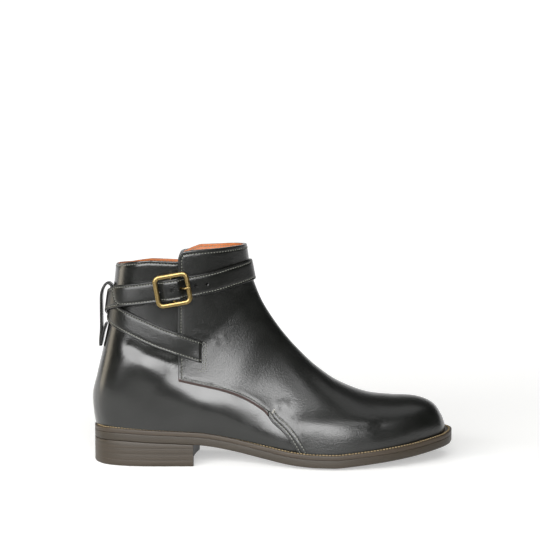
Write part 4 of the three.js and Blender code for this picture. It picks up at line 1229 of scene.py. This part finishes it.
slot_along = bar_along - (slot_from + slot_to) / 2
slot_reach = (slot_to - slot_from) / 2 - slot_half
past = np.maximum(np.abs(columns["along"] - slot_along) - slot_reach, 0)
slot_hole = np.hypot(past, columns["across"]) - slot_half
columns["edge"] = np.where(slot_hole < 1.2, np.minimum(columns["edge"], slot_hole), columns["edge"])
columns["slit"] = np.where(
    (columns["point"][:, 0] > slit_x - 30) & (columns["along"] < 90), slit_x - columns["point"][:, 0], 30
)
long_sheet = split((columns, faces), "slit", 0.0, keep_above=True)
long_sheet = split(long_sheet, "slit", 1.0)
long_sheet = split(long_sheet, "slit", 2.2)
long_sheet = cut_strap(long_sheet)
dip = 1.6 * np.clip(1 - long_sheet[0]["slit"] / 2.6, 0, 1) ** 2
points, faces = strap_shell(long_sheet, dip)
edge = np.tile(long_sheet[0]["edge"] + 1.0, 2)
make_piece(
    "long_strap_calf", points, faces, calf_strap, ["long_strap"], columns={"edge": edge}
)
stitch_row("long_strap_stitches", strap_rows(long_sheet), black_thread, pitch=2.5)

# %% The short strap and the chape that holds the buckle
short_stations = strap_frame(short_rows, short_rows["turn"][0], short_rows["turn"][-1], 1.3)
columns, faces = strap_sheet(short_rows, short_stations, 1.2, lambda skin_points, lift: lift)
columns["edge"] = strap_width / 2 - np.abs(columns["across"])
far_end = columns["along"] > short_stations["length"][-1] - 90
columns["slit"] = np.where(
    far_end & (columns["point"][:, 0] > slit_x - 30), slit_x - columns["point"][:, 0], 30
)
short_sheet = split((columns, faces), "slit", 0.0, keep_above=True)
short_sheet = split(short_sheet, "slit", 1.0)
short_sheet = split(short_sheet, "slit", 2.2)
short_sheet = cut_strap(short_sheet)
dip = 1.6 * np.clip(1 - short_sheet[0]["slit"] / 2.6, 0, 1) ** 2
points, faces = strap_shell(short_sheet, dip)
edge = np.tile(short_sheet[0]["edge"] + 1.0, 2)
make_piece(
    "short_strap_calf", points, faces, calf_strap, ["short_strap"], columns={"edge": edge}
)
stitch_row("short_strap_stitches", strap_rows(short_sheet), black_thread, pitch=2.5)


# %% [markdown]
# ## Buckle
#
# The buckle is cast brass: a squarish ring with round bars, a thin bar across its middle that
# the short strap holds, and a prong. Each is a section swept along a path.


# %% Swept bars
def tube(path, out, half_wide, half_high, sides=16, closed=False, power=2.4):
    """A bar of squarish round section along a path. Unless it is closed, its ends are capped by flat faces.
    """
    path = np.asarray(path, float)
    ahead = np.roll(path, -1, 0) - np.roll(path, 1, 0) if closed else np.gradient(path, axis=0)
    ahead /= np.linalg.norm(ahead, axis=1)[:, None]
    out = np.broadcast_to(out, path.shape)
    side = np.cross(ahead, out)
    side /= np.linalg.norm(side, axis=1)[:, None]
    up = np.cross(side, ahead)
    angle = np.arange(sides) * 2 * math.pi / sides
    cos, sin = np.cos(angle), np.sin(angle)
    reach = (np.abs(cos) ** power + np.abs(sin) ** power) ** (-1 / power)
    wide, high = cos * reach * half_wide, sin * reach * half_high
    rings = path[:, None] + side[:, None] * wide[None, :, None] + up[:, None] * high[None, :, None]
    count = len(path)
    i = np.arange(count if closed else count - 1)[:, None]
    j = np.arange(sides)
    a, b = i * sides + j, i * sides + (j + 1) % sides
    c, d = (i + 1) % count * sides + (j + 1) % sides, (i + 1) % count * sides + j
    faces = np.stack([a, b, c, d], -1).reshape(-1, 4).tolist()
    if not closed:
        faces += [list(range(sides))[::-1], [(count - 1) * sides + k for k in range(sides)]]
    return rings.reshape(-1, 3), faces


def joined(parts):
    points, faces, count = [], [], 0
    for part_points, part_faces in parts:
        points.append(part_points)
        faces += [[n + count for n in face] for face in part_faces]
        count += len(part_points)
    return np.concatenate(points), faces


def domed(path, steps=4):
    """Half widths that close a bar's ends, as shares."""
    count = len(path)
    share = np.ones(count)
    for k in range(steps):
        share[k] = share[-1 - k] = math.sqrt(1 - (1 - (k + 0.05) / steps) ** 2)
    return share


def rounded_ring(length, height, corner, per_corner=12):
    angles = np.linspace(0, math.pi / 2, per_corner)
    ring = []
    for quarter, (sx, sy) in enumerate([(1, 1), (-1, 1), (-1, -1), (1, -1)]):
        turned = angles + quarter * math.pi / 2
        middle_x, middle_y = sx * (length / 2 - corner), sy * (height / 2 - corner)
        ring += [(middle_x + corner * math.cos(a), middle_y + corner * math.sin(a)) for a in turned]
    return np.array(ring)


ring = rounded_ring(frame_length - frame_bar, frame_height - frame_bar, 6 - frame_bar / 2)
ring_height = frame_bottom + frame_thickness / 2
ring = np.column_stack([ring, np.full(len(ring), ring_height)])
ring_bar = tube(at_buckle(ring), bar_out, frame_bar / 2, frame_thickness / 2, closed=True)
post = frame_height / 2 - frame_bar / 2
bar_line = [(0, -post, ring_height), (0, -post, bar_height), (0, post, bar_height), (0, post, ring_height)]
bar_path = smooth_path(bar_line[:2], 4).tolist() + smooth_path(bar_line[1:3], 12).tolist()[1:]
bar_path += smooth_path(bar_line[2:], 4).tolist()[1:]
centre_bar = tube(at_buckle(bar_path), towards_toe, bar_radius, bar_radius, power=2)
points, faces = joined([ring_bar, centre_bar])
make_piece("buckle_frame", points, faces, brass, ["buckle"], sharp=60)

climb = prong_height - bar_height
prong_rise = frame_length / 4
prong_route = [
    (bar_radius + clearance + 1, bar_height),
    (0.72 * prong_rise, bar_height + 0.12 * climb),
    (0.98 * prong_rise, bar_height + 0.45 * climb),
    (1.22 * prong_rise, bar_height + 0.78 * climb),
    (1.48 * prong_rise, prong_height),
    (frame_length / 2 + clearance, prong_height - 0.1),
]
route = smooth_path(prong_route, 6)
path = at_buckle(np.column_stack([route[:, 0], np.zeros(len(route)), route[:, 1]]))
taper = np.linspace(1, 0.86, len(path)) * np.minimum(1, domed(path, 3) + np.linspace(1, 0, len(path)))
points, faces = tube(path, bar_out, prong_diameter / 2, prong_diameter / 2, power=2)
centres = np.repeat(path, 16, 0)
points = centres + (points - centres) * np.repeat(taper, 16)[:, None]
make_piece("buckle_prong", points, faces, brass, ["prong"], sharp=60)

# %% The chape round the buckle's bar
angle = np.linspace(0, 2 * math.pi, 33)[:-1]
parts = []
for side in (-1, 1):
    near, far_side = 0.0, strap_width / 2
    line = np.linspace(near, far_side, 8) * side
    share = np.array([1, 1, 1, 1, 1, 1, 0.98, 0.9])
    path = at_buckle(np.column_stack([np.zeros(8), line, np.full(8, bar_height)]))
    barrel_points, barrel_faces = tube(path, bar_out, barrel_radius, barrel_radius, sides=20, power=2)
    centres = np.repeat(path, 20, 0)
    parts.append((centres + (barrel_points - centres) * np.repeat(share, 20)[:, None], barrel_faces))
points, faces = joined(parts)
make_piece("buckle_chape", points, faces, calf_strap, columns={"edge": np.full(len(points), 2.0)})

# %% [markdown]
# ## Pull loop
#
# A narrow folded band at the back holds both straps and helps to pull the boot on. It is a
# closed strip that follows a path in the side view.

# %% The pull loop
loop_width, loop_thickness, loop_reach = 12.0, 2.2, 9.6
on_skin_share = (loop_thickness / 2 + 2 * clearance) / loop_reach
outer_strand = [
    (on_skin_share, 0.748), (on_skin_share, 0.762), (0.49, 0.776), (0.81, 0.763), (1.0, 0.717),
    (0.84, 0.628), (0.54, 0.531), (0.38, 0.467), (0.25, 0.431),
]
inner_strand = [
    (0.25, 0.431), (on_skin_share + 0.08, 0.467), (on_skin_share + 0.08, 0.515), (on_skin_share, 0.555),
]


def loop_band(rows, per_span):
    heights = [seat_height + collar_height * up for _, up in rows]
    line = [(skin_at(0.5, z)[0] - out * loop_reach, z) for (out, _), z in zip(rows, heights)]
    line = smooth_path(line, per_span)
    path = np.column_stack([line[:, 0], np.zeros(len(line)), line[:, 1]])
    return tube(path, (0, 1, 0), loop_thickness / 2, loop_width / 2, sides=24, power=7)


points, faces = joined([loop_band(outer_strand, 8), loop_band(inner_strand, 6)])
make_piece(
    "pull_loop_calf", points, faces, calf_strap, ["pull_loop"],
    sharp=70, columns={"edge": np.full(len(points), 2.0)},
)


# %% [markdown]
# ## Sole and heel
#
# The outsole and the welt are cut from sole leather and trimmed flush, then the edge is
# burnished round. A stack of rings along the outline gives that edge, and strips across close
# the faces. The heel is a stack of leather lifts, so its side shows fine lines where they meet.


# %% Rings along the outline
def ring_stack(rings, bottom=None, top=None, shares=np.linspace(0, 1, 9)[1:-1]):
    """Joins rings of equal count. bottom and top close the ends with strips across."""
    count = len(rings[0])
    points = [np.asarray(ring, float) for ring in rings]
    i = np.arange(len(rings) - 1)[:, None]
    j = np.arange(count)
    a, b = i * count + j, i * count + (j + 1) % count
    faces = np.stack([a, b, b + count, a + count], -1).reshape(-1, 4).tolist()
    start = len(rings) * count
    half = count // 2
    for level, base, flip in ((bottom, 0, True), (top, (len(rings) - 1) * count, False)):
        if level is None:
            continue
        ring = points[base // count]
        k = np.arange(half + 1)
        one, other = ring[k], ring[(-k) % count]
        columns_of = [base + k]
        for share in shares:
            spot = one + (other - one) * share
            spot[:, 2] = level(spot[:, 0], share)
            points.append(spot)
            columns_of.append(start + k)
            start += len(k)
        columns_of.append(base + (-k) % count)
        for left, right in zip(columns_of[:-1], columns_of[1:]):
            strip = np.stack([left[:-1], left[1:], right[1:], right[:-1]], 1)
            strip = strip[:, ::-1] if flip else strip
            faces += [list(dict.fromkeys(face)) for face in strip.tolist()]
    return np.concatenate(points), [face for face in faces if len(face) > 2]


def raised(plan, heights):
    return np.column_stack([plan, heights])


flat_middle = 0.3


def tread_level(x, share):
    outside = max(0.0, (abs(2 * share - 1) - flat_middle) / (1 - flat_middle))
    return centre_level(x) + (edge_level(x) - centre_level(x)) * outside**2


def sole_layer(bottom_at, top_at, round_bottom, round_top):
    """Rings up the edge of a layer, rounded by small radii below and above."""
    rings = []
    for angle in np.linspace(0, math.pi / 2, 5):
        inset = round_bottom * (1 - math.sin(angle))
        plan = sole_ring(inset)
        rings.append(raised(plan, bottom_at(plan[:, 0]) + round_bottom * (1 - math.cos(angle))))
    for angle in np.linspace(0, math.pi / 2, 5):
        inset = round_top * (1 - math.cos(angle))
        plan = sole_ring(inset)
        rings.append(raised(plan, top_at(plan[:, 0]) - round_top * (1 - math.sin(angle))))
    return rings


# %% The outsole
outsole_top = lambda x: edge_level(x) + outsole_thickness
rings = sole_layer(edge_level, outsole_top, 1.2, 0.35)
points, faces = ring_stack(rings, tread_level, lambda x, share: outsole_top(x))
filler_rings = [
    raised(plan, level(plan[:, 0]))
    for plan, level in (
        (sole_ring(14.3), lambda x: outsole_top(x) - 1),
        (sole_ring(14.3), seat_level),
    )
]
filler = ring_stack(filler_rings, None, lambda x, share: seat_level(x))
points, faces = joined([(points, faces), filler])
make_piece("outsole_leather", points, faces, sole_edge, ["outsole"])

# %% The welt and its stitches
welt_bottom = lambda x: outsole_top(x) + 0.12
rings = sole_layer(welt_bottom, seat_level, 0.35, 0.7)
stitch_inset = 2.2
for inset, sink in ((stitch_inset - 0.7, 0), (stitch_inset, 0.35), (stitch_inset + 0.7, 0), (13.9, 0)):
    plan = sole_ring(inset)
    rings.append(raised(plan, seat_level(plan[:, 0]) - sink))
plan = sole_ring(13.9)
rings.append(raised(plan, welt_bottom(plan[:, 0])))
closing = rings + [rings[0]]
points, faces = ring_stack(closing)
make_piece("welt_leather", points, faces, welt_edge, ["welt"])
plan = sole_ring(stitch_inset)
path = raised(plan, seat_level(plan[:, 0]) + 0.1)
path = np.concatenate([path, path[:1]])
upward = np.broadcast_to([0.0, 0.0, 1.0], path.shape)
row = stitch_row(
    "welt_stitches", [(path, upward)], welt_thread, pitch=2.7, length=2.1, width=1.1, height=1.1
)

# %% The heel
heel_length, breast_hollow, breast_skew, heel_lifts, top_piece = 86.5, 3.5, 4.5, 3, 5.2
lift_thickness = (heel_height - top_piece) / heel_lifts


def heel_outline():
    """The outline behind the hollow breast, from the outer corner round the heel."""
    outline = sole_ring(0.0, 24)
    half_across = ball_width / 2

    def breast_x(y):
        side = np.clip(y / half_across, -1, 1)
        hollow = breast_hollow * (1 - (y / (0.33 * ball_width)) ** 2)
        return heel_length + breast_skew * (side + 1) / 2 - hollow

    keep = outline[:, 0] < breast_x(outline[:, 1])
    turned = np.roll(outline, len(outline) // 2, 0)
    kept = turned[np.roll(keep, len(outline) // 2)]
    y = np.linspace(kept[-1, 1], kept[0, 1], 40)[1:-1]
    return np.concatenate([kept, np.column_stack([breast_x(y), y])])


def drawn_in(loop, distance):
    ahead = np.roll(loop, -1, 0) - np.roll(loop, 1, 0)
    ahead /= np.linalg.norm(ahead, axis=1)[:, None]
    return loop + np.stack([-ahead[:, 1], ahead[:, 0]], 1) * distance


heel_loop = heel_outline()
area = 0.5 * np.sum(
    heel_loop[:, 0] * np.roll(heel_loop[:, 1], -1) - np.roll(heel_loop[:, 0], -1) * heel_loop[:, 1]
)
heel_loop = heel_loop if area > 0 else heel_loop[::-1]
print(f"heel outline: {len(heel_loop)} points, {abs(area) / 100:.1f} square cm")


def heel_piece(levels):
    """Rings up the heel's side, closed by flat faces. Each level is a height and an inset."""
    count = len(heel_loop)
    points = []
    for height, inset in levels:
        plan = drawn_in(heel_loop, inset)
        z = height(plan[:, 0]) if callable(height) else np.full(count, height)
        points.append(raised(plan, z))
    i = np.arange(len(levels) - 1)[:, None]
    j = np.arange(count)
    a, b = i * count + j, i * count + (j + 1) % count
    faces = np.stack([a, b, b + count, a + count], -1).reshape(-1, 4).tolist()
    faces += [list(range(count))[::-1], [(len(levels) - 1) * count + k for k in range(count)]]
    return np.concatenate(points), faces


lift_line = 0.02
levels = [(0.0, 0.7), (0.25, 0.25), (0.8, 0.0), (top_piece - 0.15, 0.0), (top_piece - 0.02, lift_line)]
points, faces = heel_piece(levels)
make_piece("heel_top_leather", points, faces, heel_edge, ["heel_top_piece"])
levels = [(top_piece, lift_line), (top_piece + 0.15, 0.0)]
for lift in range(1, heel_lifts):
    joint = top_piece + lift * lift_thickness
    levels += [(joint - 0.15, 0.0), (joint, lift_line), (joint + 0.15, 0.0)]
levels += [(lambda x: edge_level(x) - 0.08, 0.0), (lambda x: edge_level(x) - 0.03, 0.02)]
points, faces = heel_piece(levels)
lift_nodes = [f"heel_lift_{n + 1}" for n in range(heel_lifts)]
make_piece("heel_lifts_leather", points, faces, heel_edge, lift_nodes)

# %% [markdown]
# ## Bar tack and slits
#
# A short bar of thick thread takes the strain where the vamp's free edge ends, and a row of
# stitches frames the slit that each strap comes out of.


# %% The slit's stitches and the bar tack
def on_side(places, side, lift):
    """Places in the side view, moved on to the outer or the inner skin, with its normals."""
    points, normals = [], []
    for x, z in places:
        start = Vector((x + centre_x, side * 150, z))
        hit, normal, _, _ = skin_tree.ray_cast(start, Vector((0, -side, 0)))
        points.append(np.array(hit) + np.array(normal) * lift)
        normals.append(normal)
    return np.array(points), np.array(normals)


slit_outline = [(-61.5, 103.6), (-58.4, 104.4), (-56.4, 102.6), (-56.4, 92.0), (-56.7, 82.5)]
slit_outline += [(-58.2, 80.4), (-61.0, 80.8), (-63.0, 82.6)]
slit_inside = [(-60.6, 102.2), (-58.8, 101.8), (-58.5, 92.0), (-58.8, 83.6), (-60.2, 82.8)]
rows = [
    on_side(smooth_path(line, 6), side, vamp_top + 0.1)
    for side in (outer, inner)
    for line in (slit_outline, slit_inside)
]
stitch_row("slit_stitches", rows, black_thread, pitch=2.2, length=1.5, width=0.9, height=0.8)
tack = [on_side([(-0.6, 45.6), (0.6, 47.2), (1.8, 49.0)], side, vamp_top + 0.2) for side in (outer, inner)]
for side, (path, normals) in zip(("outer", "inner"), tack):
    points, faces = tube(path, normals, 0.55, 0.45, sides=10, power=2)
    make_piece(f"bar_tack_{side}", points, faces, bar_tack_thread, sharp=60)

# %% The insole keeps its solid, in lining leather
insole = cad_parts["insole"]
insole.data.materials.clear()
insole.data.materials.append(lining)

# %% [markdown]
# ## Studio
#
# A pale table top, large soft lights and a camera low in front of the outer side. Black leather
# shows what it reflects, so the lights are placed for their reflections: one wide soft box
# over the boot, one at the toe's side and a slim one behind the heel.


# %% The floor
def studio_floor(name, front, back, paint):
    points = [(-6.0, front, 0.0), (6.0, front, 0.0), (6.0, back, 0.0), (-6.0, back, 0.0)]
    mesh = bpy.data.meshes.new(name)
    mesh.from_pydata(points, [], [[0, 1, 2, 3]])
    mesh.materials.append(paint)
    floor = bpy.data.objects.new(name, mesh)
    bpy.context.scene.collection.objects.link(floor)
    floor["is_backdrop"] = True


# The table top is translucent and lit from below as well, so that it stays white.
table_edge = -0.27
table_paint = plain_material("translucent white table top", "#d8d8d6", 0.9)
table_shader = table_paint.node_tree.nodes["Principled BSDF"]
table_shader.inputs["Emission Color"].default_value = linear("#ffffff")
place = add_node(table_paint, "ShaderNodeTexCoord").outputs["Object"]
depth = add_node(table_paint, "ShaderNodeSeparateXYZ", {"Vector": place}).outputs["Y"]
glow = add_node(
    table_paint,
    "ShaderNodeMapRange",
    {"Value": depth, "From Min": 0.05, "From Max": 1.2, "To Min": 0.4, "To Max": 1.0},
).outputs["Result"]
table_paint.node_tree.links.new(glow, table_shader.inputs["Emission Strength"])
studio_floor("table_top", table_edge, 9.0, table_paint)
studio_floor("room_floor", -6.0, table_edge, plain_material("dark grey floor", "#101010", 0.9))


# %% Lights and camera
def soft_light(name, place, target, size, power, colour):
    data = bpy.data.lights.new(name, "AREA")
    data.shape, data.size, data.size_y = "RECTANGLE", *size
    data.energy, data.color = power, linear(colour)[:3]
    light = bpy.data.objects.new(name, data)
    light.location = place
    light.rotation_euler = (Vector(target) - Vector(place)).to_track_quat("-Z", "Y").to_euler()
    bpy.context.scene.collection.objects.link(light)


def light_at(name, azimuth, elevation, distance, size, radiance, colour="#ffffff"):
    """A soft box seen from the boot at an angle from the camera's side, positive to the toe."""
    a, e = math.radians(azimuth), math.radians(elevation)
    centre = Vector((0, 0, 0.08))
    way = Vector((math.cos(e) * math.sin(a), -math.cos(e) * math.cos(a), math.sin(e)))
    power = radiance * math.pi * size[0] * size[1]
    soft_light(name, centre + way * distance, centre, size, power, colour)


light_at("key_soft_box", 1, 21, 1.5, (0.66, 0.9), 11.0)
light_at("left_soft_box", -36, 19, 1.5, (1.2, 0.8), 9.0)
light_at("toe_soft_box", 26, 50, 1.4, (0.6, 0.3), 4.0)
light_at("heel_strip", -104, 8, 1.2, (0.35, 1.1), 2.8, "#fff3dc")
light_at("over_soft_box", 180, 78, 1.7, (2.4, 1.0), 0.8)

# The room is white low down behind the table and dark elsewhere, as black curtains make it.
world = bpy.data.worlds.new("studio")
world.use_nodes = True
direction = add_node(world, "ShaderNodeTexCoord").outputs["Generated"]
parts = add_node(world, "ShaderNodeSeparateXYZ", {"Vector": direction}).outputs
lower = add_node(
    world, "ShaderNodeMath", {0: parts["Z"], 1: -1.2, 2: parts["Y"]}, operation="MULTIPLY_ADD"
).outputs["Value"]
wall = colours(world, lower, [(0.4, "#303030"), (0.75, "#ffffff")])
background = world.node_tree.nodes["Background"]
world.node_tree.links.new(wall, background.inputs["Color"])
background.inputs["Strength"].default_value = 1.12
bpy.context.scene.world = world
bpy.context.scene.view_settings.view_transform = "Standard"

camera_data = bpy.data.cameras.new("camera")
camera_data.lens, camera_data.sensor_width = 89.67, 36.0
camera = bpy.data.objects.new("camera", camera_data)
camera.location = (-0.00228, -1.149, 0.266)
camera.rotation_euler = (math.radians(90 - 5.1), 0, 0)
bpy.context.scene.collection.objects.link(camera)
bpy.context.scene.camera = camera

# %% Print the two boxes and finish
bpy.context.view_layer.update()
seen_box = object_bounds()
for name, box in (("cad", cad_box), ("visual", seen_box)):
    print(name, [[round(v / MM, 1) for v in corner] for corner in box])
